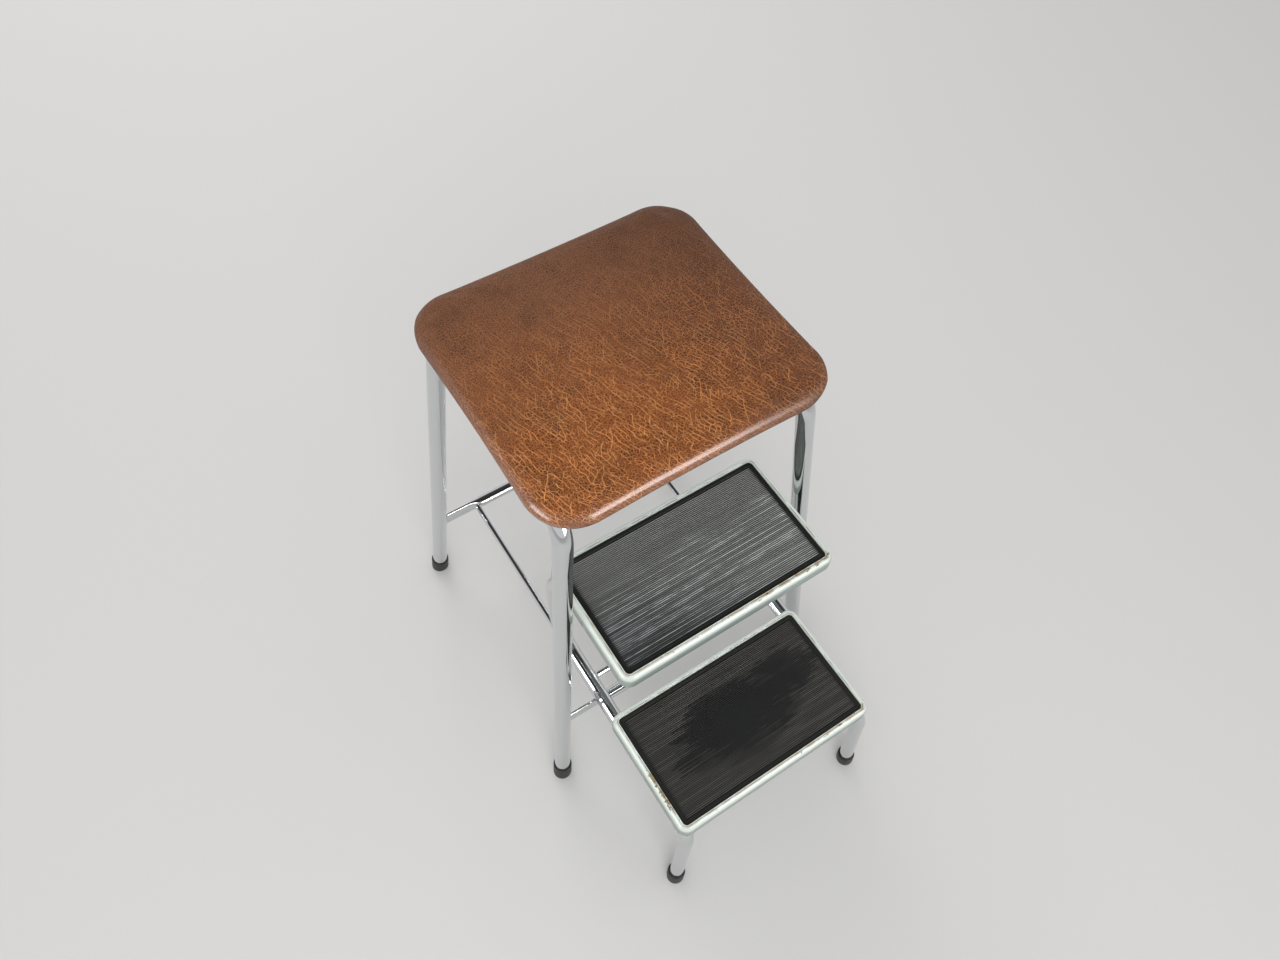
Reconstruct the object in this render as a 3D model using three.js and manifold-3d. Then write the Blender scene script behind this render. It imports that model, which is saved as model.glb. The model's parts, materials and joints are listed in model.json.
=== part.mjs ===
// Step stool with a padded seat: two bent-tube side frames carry the seat, and a unit of two
// rubber-topped steps slides in under it on a pair of guide rods.
// Millimetres, +Z up. The steps come out towards -Y and left is -X.

import * as THREE from 'three';
import { mergeVertices } from 'three/addons/utils/BufferGeometryUtils.js';
import Module from 'manifold-3d';

const wasm = await Module();
wasm.setup();

// Fits shared by all pieces
const CLEARANCE = 0.3;
const CUT_OVERRUN = 3;

// Facet counts
const TUBE_SIDES = 14;
const BEND_STEPS = 6;
const ROD_SIDES = 12;
const RIVET_SIDES = 8;
const CAP_SIDES = 18;
const CORNER_STEPS = 6;
const PAD_CORNER_STEPS = 8;
const PAD_SIDE_POINTS = 3;
const BAR_BLEND_STEPS = 4;

// Seat: a foam pad in a cover that is turned under a plywood board
const SEAT_WIDTH = 355;
const SEAT_DEPTH = 327;
const SEAT_CORNER_RADIUS = 52;
const SEAT_UNDERSIDE_HEIGHT = 604;
const PAD_THICKNESS = 24;
const PAD_EDGE_ROUND = 14;
const PAD_CROWN = 3;
const PAD_SIDE_DRAW_IN = 1.4;
const HEM_WIDTH = 22;
const HEM_THICKNESS = 1.4;
const BOARD_INSET = 7;
const BOARD_THICKNESS = 12;

// Side frames: one tube each, bent into an upside-down U that leans in towards the seat
const LEG_DIAMETER = 22;
const LEG_WALL = 1.5;
const FRAME_BEND_RADIUS = 45;
const FOOT_HALF_WIDTH = 208.2;
const FOOT_HALF_DEPTH = 194.5;
const SHOULDER_HALF_WIDTH = 149.5;
const SHOULDER_HALF_DEPTH = 136;

// Seat screws, driven up through the side frames into the board
const SEAT_SCREW_HALF_PITCH = 70;
const SCREW_SHANK_RADIUS = 2.2;
const SCREW_HEAD_RADIUS = 4.6;
const SCREW_HEAD_HEIGHT = 2.6;
const SCREW_BITE = 8;

// Crossbars: tubes with ends pressed flat where they meet the legs
const CROSSBAR_DIAMETER = 16;
const CROSSBAR_WALL = 1.2;
const CROSSBAR_HEIGHT = 153;
const CROSSBAR_SETBACK = 2;
const PINCH_THICKNESS = 6.4;
const PINCH_LENGTH = 36;
const PINCH_BLEND = 16;

// Guide rods, from crossbar to crossbar
const GUIDE_ROD_DIAMETER = 8;
const GUIDE_ROD_OFFSET = 3;

// Steps: ribbed rubber mats in pressed sheet trays
const MAT_WIDTH = 277.5;
const MAT_DEPTH = 153.8;
const MAT_THICKNESS = 3.5;
const MAT_BORDER = 5;
const MAT_GROOVE = 0.9;
const RIB_PITCH = 2.27;
const RIB_HEIGHT = 0.9;
const RIB_CREST_WIDTH = 0.9;
const RIB_FOOT_WIDTH = 1.5;
const TRAY_WALL = 1.2;
const TRAY_CORNER_RADIUS = 14;
const TRAY_SKIRT_DEPTH = 19;
const TRAY_RIM_WIDTH = 8.6;
const TRAY_RIM_RISE = 2;
const TRAY_RIM_DROP = 6.8;
const TRAY_LIP_WIDTH = 1.7;
const RIM_STEPS = 5;
const MAT_SIDE_GAP = 0.5;
const LOWER_STEP_HEIGHT = 203;
const LOWER_STEP_REACH = 304.8;
const UPPER_STEP_HEIGHT = 404;
const UPPER_STEP_REACH = 166.8;

// Step tubes: one bent tube each side, from the foot to the front of the upper step
const STEP_TUBE_DIAMETER = 19;
const STEP_TUBE_WALL = 1.5;
const STEP_TUBE_SIDE_GAP = 0.65;
const KNEE_SETBACK = 3.3;
const KNEE_BEND_RADIUS = 35;
const STEP_FOOT_SPLAY = 14;
const STEP_FOOT_KICK = 12.7;
const UPRIGHT_REACH = 72;
const LOWER_BEND_RADIUS = 45;
const UPPER_BEND_RADIUS = 80;
const UPPER_RUN_SETBACK = 14;

// Tie rod between the step tubes
const TIE_ROD_DIAMETER = 9;
const TIE_ROD_REACH = 157;

// Guide eyes: sleeves that hang the step tubes on the guide rods
const EYE_DIAMETER = 14;
const EYE_BORE_DIAMETER = 9.2;
const EYE_LENGTH = 12;
const EYE_PITCH = 38;
const EYE_WEB_WIDTH = 6;

// Rivets that hold the trays on the step tubes, under the mats
const RIVET_HALF_PITCH = 30;
const RIVET_SHANK_RADIUS = 1.6;
const RIVET_HEAD_RADIUS = 2.9;
const RIVET_HEAD_HEIGHT = 1;
const RIVET_TAIL_RADIUS = 2.4;
const RIVET_TAIL_HEIGHT = 1.6;

// Rubber caps on the tube ends
const CAP_FLOOR = 5;
const CAP_EDGE = 1.2;
const LEG_CAP_WALL = 1.5;
const LEG_CAP_HEIGHT = 26;
const STEP_CAP_WALL = 2.2;
const STEP_CAP_HEIGHT = 22;

// Places that follow from the sizes above
const LEG_RADIUS = LEG_DIAMETER / 2;
const STEP_TUBE_RADIUS = STEP_TUBE_DIAMETER / 2;
const BOARD_UNDERSIDE = SEAT_UNDERSIDE_HEIGHT + HEM_THICKNESS + CLEARANCE;
const SHOULDER_HEIGHT = BOARD_UNDERSIDE - CLEARANCE - LEG_RADIUS;
const TRAY_WIDTH = MAT_WIDTH + 2 * TRAY_RIM_WIDTH;
const TRAY_DEPTH = MAT_DEPTH + 2 * TRAY_RIM_WIDTH;
const STEP_TUBE_X = TRAY_WIDTH / 2 - TRAY_WALL - STEP_TUBE_SIDE_GAP - STEP_TUBE_RADIUS;
const GUIDE_ROD_X = STEP_TUBE_X - GUIDE_ROD_OFFSET;
const KNEE_Y = -LOWER_STEP_REACH - TRAY_DEPTH / 2 + KNEE_SETBACK;
const UPPER_RUN_END_Y = -UPPER_STEP_REACH - TRAY_DEPTH / 2 + UPPER_RUN_SETBACK;
const MAT_TO_TUBE = MAT_THICKNESS + TRAY_WALL + 2 * CLEARANCE + STEP_TUBE_RADIUS;
const LOWER_RUN_HEIGHT = LOWER_STEP_HEIGHT - MAT_TO_TUBE;
const UPPER_RUN_HEIGHT = UPPER_STEP_HEIGHT - MAT_TO_TUBE;
const CROSSBAR_Y = legAxisAt(CROSSBAR_HEIGHT, 1, 1).y - CROSSBAR_SETBACK;
const FRONT_EYE_Y = -CROSSBAR_Y + CROSSBAR_DIAMETER / 2 + CLEARANCE + EYE_LENGTH / 2;

const ENDS = ['front', 'rear'];
const X_AXIS = new THREE.Vector3(1, 0, 0);
const Y_AXIS = new THREE.Vector3(0, 1, 0);
const Z_AXIS = new THREE.Vector3(0, 0, 1);

const chrome = new THREE.MeshStandardMaterial({ color: '#c9ccce', roughness: 0.12, metalness: 1 });
const zinc = new THREE.MeshStandardMaterial({ color: '#a9abac', roughness: 0.35, metalness: 1 });
const enamel = new THREE.MeshStandardMaterial({ color: '#d5dccb', roughness: 0.35, metalness: 0 });
const leatherette = new THREE.MeshStandardMaterial({ color: '#7f4325', roughness: 0.5, metalness: 0 });
const plywood = new THREE.MeshStandardMaterial({ color: '#b58d5c', roughness: 0.8, metalness: 0 });
const rubber = new THREE.MeshStandardMaterial({ color: '#2b2c2b', roughness: 0.7, metalness: 0 });

// Centre line of a leg at a height; the signs choose the side and the front or the back
function legAxisAt(height, sideX, sideY) {
  const share = height / SHOULDER_HEIGHT;
  return new THREE.Vector3(
    sideX * THREE.MathUtils.lerp(FOOT_HALF_WIDTH, SHOULDER_HALF_WIDTH, share),
    sideY * THREE.MathUtils.lerp(FOOT_HALF_DEPTH, SHOULDER_HALF_DEPTH, share),
    height,
  );
}

// Geometry from points and triangles, turned so that its faces look outwards
function closedGeometry(points, triangles) {
  let volume = 0;
  for (const [a, b, c] of triangles) {
    volume += points[a].dot(new THREE.Vector3().crossVectors(points[b], points[c]));
  }
  const turned = volume < 0 ? triangles.map(([a, b, c]) => [a, c, b]) : triangles;
  const geometry = new THREE.BufferGeometry();
  geometry.setAttribute(
    'position',
    new THREE.Float32BufferAttribute(points.flatMap((point) => point.toArray()), 3),
  );
  geometry.setIndex(turned.flat());
  return geometry;
}

// Triangles between each ring of points and the next one
function bandTriangles(ringCount, pointCount, bandCount) {
  const triangles = [];
  for (let band = 0; band < bandCount; band += 1) {
    const here = band * pointCount;
    const next = ((band + 1) % ringCount) * pointCount;
    for (let i = 0; i < pointCount; i += 1) {
      const j = (i + 1) % pointCount;
      triangles.push([here + i, here + j, next + j], [here + i, next + j, next + i]);
    }
  }
  return triangles;
}

// Skin over rings of points, with the first and last ring closed by a fan about their middle
function loft(rings) {
  const count = rings[0].length;
  const points = rings.flat();
  const triangles = bandTriangles(rings.length, count, rings.length - 1);
  const middleOf = (ring) =>
    ring.reduce((sum, point) => sum.add(point), new THREE.Vector3()).divideScalar(count);
  points.push(middleOf(rings[0]), middleOf(rings.at(-1)));
  const lastRing = (rings.length - 1) * count;
  for (let i = 0; i < count; i += 1) {
    const j = (i + 1) % count;
    triangles.push([points.length - 2, j, i]);
    triangles.push([points.length - 1, lastRing + i, lastRing + j]);
  }
  return closedGeometry(points, triangles);
}

// Skin over rings of points whose last ring joins the first, as in a pipe with a wall
function loopedLoft(rings) {
  const count = rings[0].length;
  return closedGeometry(rings.flat(), bandTriangles(rings.length, count, rings.length));
}

// Solid for joining and cutting, from any closed geometry
function solidOf(geometry) {
  const bare = geometry.clone();
  bare.deleteAttribute('normal');
  bare.deleteAttribute('uv');
  const merged = mergeVertices(bare);
  return new wasm.Manifold(new wasm.Mesh({
    numProp: 3,
    vertProperties: new Float32Array(merged.attributes.position.array),
    triVerts: new Uint32Array(merged.index.array),
  }));
}

// Geometry of a finished solid
function geometryOf(solid) {
  const mesh = solid.getMesh();
  const geometry = new THREE.BufferGeometry();
  geometry.setAttribute('position', new THREE.BufferAttribute(mesh.vertProperties, 3));
  geometry.setIndex(new THREE.BufferAttribute(mesh.triVerts, 1));
  return geometry;
}

// One geometry cut by several others
function cutBy(geometry, cutters) {
  let solid = solidOf(geometry);
  for (const cutter of cutters) {
    solid = solid.subtract(solidOf(cutter));
  }
  return geometryOf(solid);
}

// One geometry joined with several others
function joinedWith(geometry, others) {
  let solid = solidOf(geometry);
  for (const other of others) {
    solid = solid.add(solidOf(other));
  }
  return geometryOf(solid);
}

// Moves a geometry so that its own axes lie along the given ones
function place(geometry, xAxis, yAxis, zAxis, origin) {
  const matrix = new THREE.Matrix4().makeBasis(xAxis, yAxis, zAxis).setPosition(origin);
  return geometry.applyMatrix4(matrix);
}

// Round rod between two points
function rodBetween(start, end, radius, sides = ROD_SIDES) {
  const axis = new THREE.Vector3().subVectors(end, start);
  const geometry = new THREE.CylinderGeometry(radius, radius, axis.length(), sides);
  const turn = new THREE.Quaternion().setFromUnitVectors(Y_AXIS, axis.clone().normalize());
  geometry.applyQuaternion(turn);
  const middle = new THREE.Vector3().addVectors(start, end).multiplyScalar(0.5);
  return geometry.translate(middle.x, middle.y, middle.z);
}

// Points of a regular polygon for a tube's section
function circlePoints(radius, sides) {
  return Array.from({ length: sides }, (_, i) => {
    const angle = (2 * Math.PI * i) / sides;
    return new THREE.Vector2(radius * Math.cos(angle), radius * Math.sin(angle));
  });
}

// Outline of a rectangle with round corners; its sides can have extra points that are drawn in
function roundedRectangle(width, depth, radius, cornerSteps, sidePoints = 0, drawIn = 0) {
  const points = [];
  for (let quarter = 0; quarter < 4; quarter += 1) {
    const turn = (quarter * Math.PI) / 2;
    const signX = quarter === 0 || quarter === 3 ? 1 : -1;
    const signY = quarter < 2 ? 1 : -1;
    const centre = new THREE.Vector2(signX * (width / 2 - radius), signY * (depth / 2 - radius));
    for (let step = 0; step <= cornerSteps; step += 1) {
      const angle = turn + (step / cornerSteps) * (Math.PI / 2);
      points.push(new THREE.Vector2(Math.cos(angle), Math.sin(angle)).multiplyScalar(radius).add(centre));
    }
    const from = points.at(-1);
    const alongX = quarter % 2 === 0;
    const inward = alongX ? new THREE.Vector2(0, -signY) : new THREE.Vector2(-signX, 0);
    const to = from.clone().multiply(alongX ? new THREE.Vector2(-1, 1) : new THREE.Vector2(1, -1));
    for (let i = 1; i <= sidePoints; i += 1) {
      const share = i / (sidePoints + 1);
      const pull = 4 * share * (1 - share) * drawIn;
      points.push(from.clone().lerp(to, share).addScaledVector(inward, pull));
    }
  }
  return points;
}

// A flat outline lifted to a height about a centre
function ringAt(outline, centreY, height) {
  return outline.map((point) => new THREE.Vector3(point.x, point.y + centreY, height));
}

// Bent centre line of a tube: straight runs joined by an arc at each inner corner
class BentLine extends THREE.Curve {
  constructor(corners, bendRadii) {
    super();
    this.points = [corners[0]];
    this.tangents = [new THREE.Vector3().subVectors(corners[1], corners[0]).normalize()];
    bendRadii.forEach((radius, i) => this.addBend(corners[i], corners[i + 1], corners[i + 2], radius));
    this.points.push(corners.at(-1));
    this.tangents.push(new THREE.Vector3().subVectors(corners.at(-1), corners.at(-2)).normalize());
  }

  addBend(before, corner, after, radius) {
    const into = new THREE.Vector3().subVectors(corner, before).normalize();
    const out = new THREE.Vector3().subVectors(after, corner).normalize();
    const turn = into.angleTo(out);
    const start = corner.clone().addScaledVector(into, -radius * Math.tan(turn / 2));
    const side = out.clone().addScaledVector(into, -into.dot(out)).normalize();
    for (let step = 0; step <= BEND_STEPS; step += 1) {
      const angle = (step / BEND_STEPS) * turn;
      this.points.push(start.clone()
        .addScaledVector(into, radius * Math.sin(angle))
        .addScaledVector(side, radius * (1 - Math.cos(angle))));
      this.tangents.push(into.clone().multiplyScalar(Math.cos(angle)).addScaledVector(side, Math.sin(angle)));
    }
  }

  get steps() {
    return this.points.length - 1;
  }

  getPoint(share, target = new THREE.Vector3()) {
    return target.copy(this.points[Math.round(share * this.steps)]);
  }

  getPointAt(share, target) {
    return this.getPoint(share, target);
  }

  getTangentAt(share, target = new THREE.Vector3()) {
    return target.copy(this.tangents[Math.round(share * this.steps)]);
  }
}

// Tube with a wall along a bent line
function tubeAlong(line, radius, wall) {
  const section = new THREE.Shape(circlePoints(radius, TUBE_SIDES));
  section.holes.push(new THREE.Path(circlePoints(radius - wall, TUBE_SIDES).reverse()));
  return new THREE.ExtrudeGeometry(section, { steps: line.steps, bevelEnabled: false, extrudePath: line });
}

// Point on a line from a foot up to a higher point, a given way along it
function alongLeg(foot, top, distance) {
  const direction = new THREE.Vector3().subVectors(top, foot).normalize();
  return foot.clone().addScaledVector(direction, distance);
}

// Seat pad: crowned top, round edge, sides drawn in between the corners, and the hem turned under
function seatPad() {
  const edgeShares = [
    [0.36, 0], [0.15, 0.04], [0.04, 0.16], [0, 0.38], [0, 0.56],
    [0.07, 0.75], [0.25, 0.9], [0.55, 0.975], [1, 1],
  ];
  const crownShares = [[0.8, 0.42], [0.55, 0.76], [0.28, 0.95]];
  const outline = (inset, drawIn) => roundedRectangle(
    SEAT_WIDTH - 2 * inset, SEAT_DEPTH - 2 * inset, SEAT_CORNER_RADIUS - inset,
    PAD_CORNER_STEPS, PAD_SIDE_POINTS, drawIn,
  );
  const shoulder = outline(PAD_EDGE_ROUND, PAD_SIDE_DRAW_IN);
  const topEdge = SEAT_UNDERSIDE_HEIGHT + PAD_THICKNESS;
  const ceiling = BOARD_UNDERSIDE + BOARD_THICKNESS + CLEARANCE;
  const recess = outline(BOARD_INSET - CLEARANCE, 0);
  const hem = outline(HEM_WIDTH, 0);
  const rings = crownShares.toReversed().map(([size, rise]) => ringAt(
    shoulder.map((point) => point.clone().multiplyScalar(size)), 0, topEdge + rise * PAD_CROWN,
  ));
  for (const [insetShare, heightShare] of edgeShares.toReversed()) {
    const ring = outline(insetShare * PAD_EDGE_ROUND, PAD_SIDE_DRAW_IN);
    rings.push(ringAt(ring, 0, SEAT_UNDERSIDE_HEIGHT + heightShare * PAD_THICKNESS));
  }
  rings.push(ringAt(hem, 0, SEAT_UNDERSIDE_HEIGHT));
  rings.push(ringAt(hem, 0, SEAT_UNDERSIDE_HEIGHT + HEM_THICKNESS));
  rings.push(ringAt(recess, 0, SEAT_UNDERSIDE_HEIGHT + HEM_THICKNESS));
  rings.push(ringAt(recess, 0, ceiling));
  return loftWithPeak(rings, topEdge + PAD_CROWN);
}

// Loft whose first fan rises to a given height
function loftWithPeak(rings, peakHeight) {
  const geometry = loft(rings);
  const position = geometry.attributes.position;
  position.setZ(position.count - 2, peakHeight);
  return geometry;
}

// Places of the seat screws on one side
function seatScrewPoints(side) {
  return [-1, 1].map((end) => new THREE.Vector3(
    side * SHOULDER_HALF_WIDTH, end * SEAT_SCREW_HALF_PITCH, SHOULDER_HEIGHT,
  ));
}

// Upright hole about a point, from one height to another
function uprightHole(point, radius, bottom, top) {
  return rodBetween(
    new THREE.Vector3(point.x, point.y, bottom), new THREE.Vector3(point.x, point.y, top), radius,
  );
}

// Plywood seat board with blind holes for the screws
function seatBoard() {
  const outline = roundedRectangle(
    SEAT_WIDTH - 2 * BOARD_INSET, SEAT_DEPTH - 2 * BOARD_INSET, SEAT_CORNER_RADIUS - BOARD_INSET,
    CORNER_STEPS,
  );
  const board = new THREE.ExtrudeGeometry(
    new THREE.Shape(outline), { depth: BOARD_THICKNESS, bevelEnabled: false },
  ).translate(0, 0, BOARD_UNDERSIDE);
  const holes = [-1, 1].flatMap(seatScrewPoints).map((point) => uprightHole(
    point, SCREW_SHANK_RADIUS + CLEARANCE,
    BOARD_UNDERSIDE - CUT_OVERRUN, BOARD_UNDERSIDE + SCREW_BITE + CLEARANCE,
  ));
  return cutBy(board, holes);
}

// One side frame: front foot, over the shoulders under the seat, and down to the rear foot
function sideFrame(side) {
  const frontFoot = legAxisAt(0, side, -1);
  const frontShoulder = legAxisAt(SHOULDER_HEIGHT, side, -1);
  const rearShoulder = legAxisAt(SHOULDER_HEIGHT, side, 1);
  const rearFoot = legAxisAt(0, side, 1);
  const line = new BentLine(
    [
      alongLeg(frontFoot, frontShoulder, CAP_FLOOR),
      frontShoulder,
      rearShoulder,
      alongLeg(rearFoot, rearShoulder, CAP_FLOOR),
    ],
    [FRAME_BEND_RADIUS, FRAME_BEND_RADIUS],
  );
  const holes = seatScrewPoints(side).map((point) => uprightHole(
    point, SCREW_SHANK_RADIUS + CLEARANCE,
    SHOULDER_HEIGHT - LEG_RADIUS - CUT_OVERRUN, SHOULDER_HEIGHT + LEG_RADIUS + CUT_OVERRUN,
  ));
  return cutBy(tubeAlong(line, LEG_RADIUS, LEG_WALL), holes);
}

// Screw with a round head under the tube and its point in the board
function seatScrew(point) {
  const headTop = -LEG_RADIUS - CLEARANCE;
  const tip = LEG_RADIUS + CLEARANCE + SCREW_BITE;
  const profile = [
    new THREE.Vector2(0, headTop - SCREW_HEAD_HEIGHT),
    new THREE.Vector2(SCREW_HEAD_RADIUS / 2, headTop - SCREW_HEAD_HEIGHT),
    new THREE.Vector2(SCREW_HEAD_RADIUS, headTop - SCREW_HEAD_HEIGHT / 3),
    new THREE.Vector2(SCREW_HEAD_RADIUS, headTop),
    new THREE.Vector2(SCREW_SHANK_RADIUS, headTop),
    new THREE.Vector2(SCREW_SHANK_RADIUS, tip - SCREW_SHANK_RADIUS),
    new THREE.Vector2(0, tip),
  ];
  return place(new THREE.LatheGeometry(profile, ROD_SIDES), X_AXIS, Z_AXIS, Y_AXIS.clone().negate(), point);
}

// Section of a crossbar, from round to pressed flat; the growth makes a cutter that clears it
function barSection(x, y, pinch, radius, growth) {
  const wallShift = CROSSBAR_DIAMETER / 2 - radius;
  const pressed = PINCH_THICKNESS / 2 - wallShift;
  const round = THREE.MathUtils.lerp(radius, pressed, pinch) + growth;
  const flat = pinch * (Math.PI / 4) * (CROSSBAR_DIAMETER - PINCH_THICKNESS);
  return Array.from({ length: TUBE_SIDES }, (_, i) => {
    const angle = (2 * Math.PI * (i + 0.5)) / TUBE_SIDES;
    const lift = Math.sign(Math.sin(angle)) * flat;
    return new THREE.Vector3(x, y + round * Math.cos(angle), CROSSBAR_HEIGHT + round * Math.sin(angle) + lift);
  });
}

// Stations along a crossbar, each with how far it is pressed flat
function barStations() {
  const end = legAxisAt(CROSSBAR_HEIGHT, 1, 1).x;
  const flatStart = end - LEG_RADIUS - PINCH_LENGTH;
  const half = [[end, 1]];
  for (let step = 0; step <= BAR_BLEND_STEPS; step += 1) {
    const share = step / BAR_BLEND_STEPS;
    half.push([flatStart - share * PINCH_BLEND, 1 - THREE.MathUtils.smoothstep(share, 0, 1)]);
  }
  const mirrored = half.map(([x, pinch]) => [-x, pinch]);
  return [...mirrored, ...half.toReversed()];
}

// Solid crossbar with a clearance round it, to cut what meets it
function barCutter(y) {
  return loft(barStations().map(([x, pinch]) => barSection(x, y, pinch, CROSSBAR_DIAMETER / 2, CLEARANCE)));
}

// Crossbar with a wall, coped to the legs it joins
function crossbar(end) {
  const y = end * CROSSBAR_Y;
  const stations = barStations();
  const rings = [
    ...stations.map(([x, pinch]) => barSection(x, y, pinch, CROSSBAR_DIAMETER / 2, 0)),
    ...stations.toReversed().map(([x, pinch]) => barSection(
      x, y, pinch, CROSSBAR_DIAMETER / 2 - CROSSBAR_WALL, 0,
    )),
  ];
  const legs = [-1, 1].map((side) => rodBetween(
    legAxisAt(CROSSBAR_HEIGHT - CROSSBAR_DIAMETER, side, end),
    legAxisAt(CROSSBAR_HEIGHT + CROSSBAR_DIAMETER, side, end),
    LEG_RADIUS + CLEARANCE, 2 * TUBE_SIDES,
  ));
  return cutBy(loopedLoft(rings), legs);
}

// Guide rod, coped to both crossbars
function guideRod(side) {
  const rod = rodBetween(
    new THREE.Vector3(side * GUIDE_ROD_X, -CROSSBAR_Y, CROSSBAR_HEIGHT),
    new THREE.Vector3(side * GUIDE_ROD_X, CROSSBAR_Y, CROSSBAR_HEIGHT),
    GUIDE_ROD_DIAMETER / 2,
  );
  return cutBy(rod, [barCutter(-CROSSBAR_Y), barCutter(CROSSBAR_Y)]);
}

// Rubber cap on the end of a leg, flat on the floor
function footCap(foot, top, tubeRadius, wall, height) {
  const axis = new THREE.Vector3().subVectors(top, foot).normalize();
  const across = new THREE.Vector3().crossVectors(Y_AXIS, axis).normalize();
  const along = new THREE.Vector3().crossVectors(axis, across);
  const bore = tubeRadius + CLEARANCE;
  const outer = bore + wall;
  const ring = (radius, shift) => Array.from({ length: CAP_SIDES }, (_, i) => {
    const angle = (2 * Math.PI * i) / CAP_SIDES;
    const spoke = across.clone().multiplyScalar(radius * Math.cos(angle))
      .addScaledVector(along, radius * Math.sin(angle));
    return foot.clone().add(spoke).addScaledVector(axis, shift(spoke));
  });
  const level = (floorHeight) => (spoke) => (floorHeight - spoke.z) / axis.z;
  const square = (distance) => () => distance;
  return loft([
    ring(outer - CAP_EDGE, level(0)),
    ring(outer, level(CAP_EDGE)),
    ring(outer, square(height - CAP_EDGE)),
    ring(outer - wall / 2, square(height)),
    ring(bore, square(height)),
    ring(bore, square(CAP_FLOOR - CLEARANCE)),
  ]);
}

// Cap of one leg of the side frames
function legCap(side, end) {
  return footCap(
    legAxisAt(0, side, end), legAxisAt(SHOULDER_HEIGHT, side, end), LEG_RADIUS, LEG_CAP_WALL, LEG_CAP_HEIGHT,
  );
}

// Foot and knee of one step tube
function stepFoot(side) {
  return new THREE.Vector3(side * (STEP_TUBE_X + STEP_FOOT_SPLAY), KNEE_Y - STEP_FOOT_KICK, 0);
}

function stepKnee(side) {
  return new THREE.Vector3(side * STEP_TUBE_X, KNEE_Y, LOWER_RUN_HEIGHT);
}

// Cap of one step tube
function stepCap(side) {
  return footCap(stepFoot(side), stepKnee(side), STEP_TUBE_RADIUS, STEP_CAP_WALL, STEP_CAP_HEIGHT);
}

// Places of the rivets on one step tube under one tray, in the middle of its straight run
function rivetPoints(side, runStart, runEnd, runHeight) {
  const middle = (runStart + runEnd) / 2;
  return [-1, 1].map((end) => new THREE.Vector3(
    side * STEP_TUBE_X, middle + end * RIVET_HALF_PITCH, runHeight,
  ));
}

function lowerRivetPoints(side) {
  const trayBack = -LOWER_STEP_REACH + TRAY_DEPTH / 2;
  return rivetPoints(side, KNEE_Y + KNEE_BEND_RADIUS, trayBack, LOWER_RUN_HEIGHT);
}

function upperRivetPoints(side) {
  return rivetPoints(side, -UPRIGHT_REACH - UPPER_BEND_RADIUS, UPPER_RUN_END_Y, UPPER_RUN_HEIGHT);
}

// One step tube: foot, knee, under the lower tray, up, and forward under the upper tray
function stepTube(side) {
  const line = new BentLine(
    [
      alongLeg(stepFoot(side), stepKnee(side), CAP_FLOOR),
      stepKnee(side),
      new THREE.Vector3(side * STEP_TUBE_X, -UPRIGHT_REACH, LOWER_RUN_HEIGHT),
      new THREE.Vector3(side * STEP_TUBE_X, -UPRIGHT_REACH, UPPER_RUN_HEIGHT),
      new THREE.Vector3(side * STEP_TUBE_X, UPPER_RUN_END_Y, UPPER_RUN_HEIGHT),
    ],
    [KNEE_BEND_RADIUS, LOWER_BEND_RADIUS, UPPER_BEND_RADIUS],
  );
  const holes = [...lowerRivetPoints(side), ...upperRivetPoints(side)].map((point) => uprightHole(
    point, RIVET_SHANK_RADIUS + CLEARANCE, point.z, point.z + STEP_TUBE_RADIUS + CUT_OVERRUN,
  ));
  return cutBy(tubeAlong(line, STEP_TUBE_RADIUS, STEP_TUBE_WALL), holes);
}

// Clear space round the lower run of a step tube, to cut what meets it
function lowerRunCutter(side, clearance) {
  return rodBetween(
    new THREE.Vector3(side * STEP_TUBE_X, KNEE_Y, LOWER_RUN_HEIGHT),
    new THREE.Vector3(side * STEP_TUBE_X, -UPRIGHT_REACH, LOWER_RUN_HEIGHT),
    STEP_TUBE_RADIUS + clearance, 2 * TUBE_SIDES,
  );
}

// Rod that ties the two step tubes together behind the lower tray
function tieRod() {
  const rod = rodBetween(
    new THREE.Vector3(-STEP_TUBE_X, -TIE_ROD_REACH, LOWER_RUN_HEIGHT),
    new THREE.Vector3(STEP_TUBE_X, -TIE_ROD_REACH, LOWER_RUN_HEIGHT),
    TIE_ROD_DIAMETER / 2,
  );
  return cutBy(rod, [-1, 1].map((side) => lowerRunCutter(side, CLEARANCE)));
}

// Guide eye: a sleeve on the guide rod with a web up to the step tube
function guideEye(side, y) {
  const front = y - EYE_LENGTH / 2;
  const back = y + EYE_LENGTH / 2;
  const rodPoint = (at) => new THREE.Vector3(side * GUIDE_ROD_X, at, CROSSBAR_HEIGHT);
  const sleeve = rodBetween(rodPoint(front), rodPoint(back), EYE_DIAMETER / 2, TUBE_SIDES);
  const bore = rodBetween(
    rodPoint(front - CUT_OVERRUN), rodPoint(back + CUT_OVERRUN), EYE_BORE_DIAMETER / 2, TUBE_SIDES,
  );
  const web = new THREE.Shape([
    new THREE.Vector2(-EYE_WEB_WIDTH / 2, 0),
    new THREE.Vector2(EYE_WEB_WIDTH / 2, 0),
    new THREE.Vector2(side * GUIDE_ROD_OFFSET + EYE_WEB_WIDTH, LOWER_RUN_HEIGHT - CROSSBAR_HEIGHT),
    new THREE.Vector2(side * GUIDE_ROD_OFFSET - EYE_WEB_WIDTH, LOWER_RUN_HEIGHT - CROSSBAR_HEIGHT),
  ]);
  const webBody = place(
    new THREE.ExtrudeGeometry(web, { depth: EYE_LENGTH, bevelEnabled: false }),
    X_AXIS, Z_AXIS, Y_AXIS.clone().negate(), rodPoint(back),
  );
  return cutBy(joinedWith(sleeve, [webBody]), [bore, lowerRunCutter(side, CLEARANCE)]);
}

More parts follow.
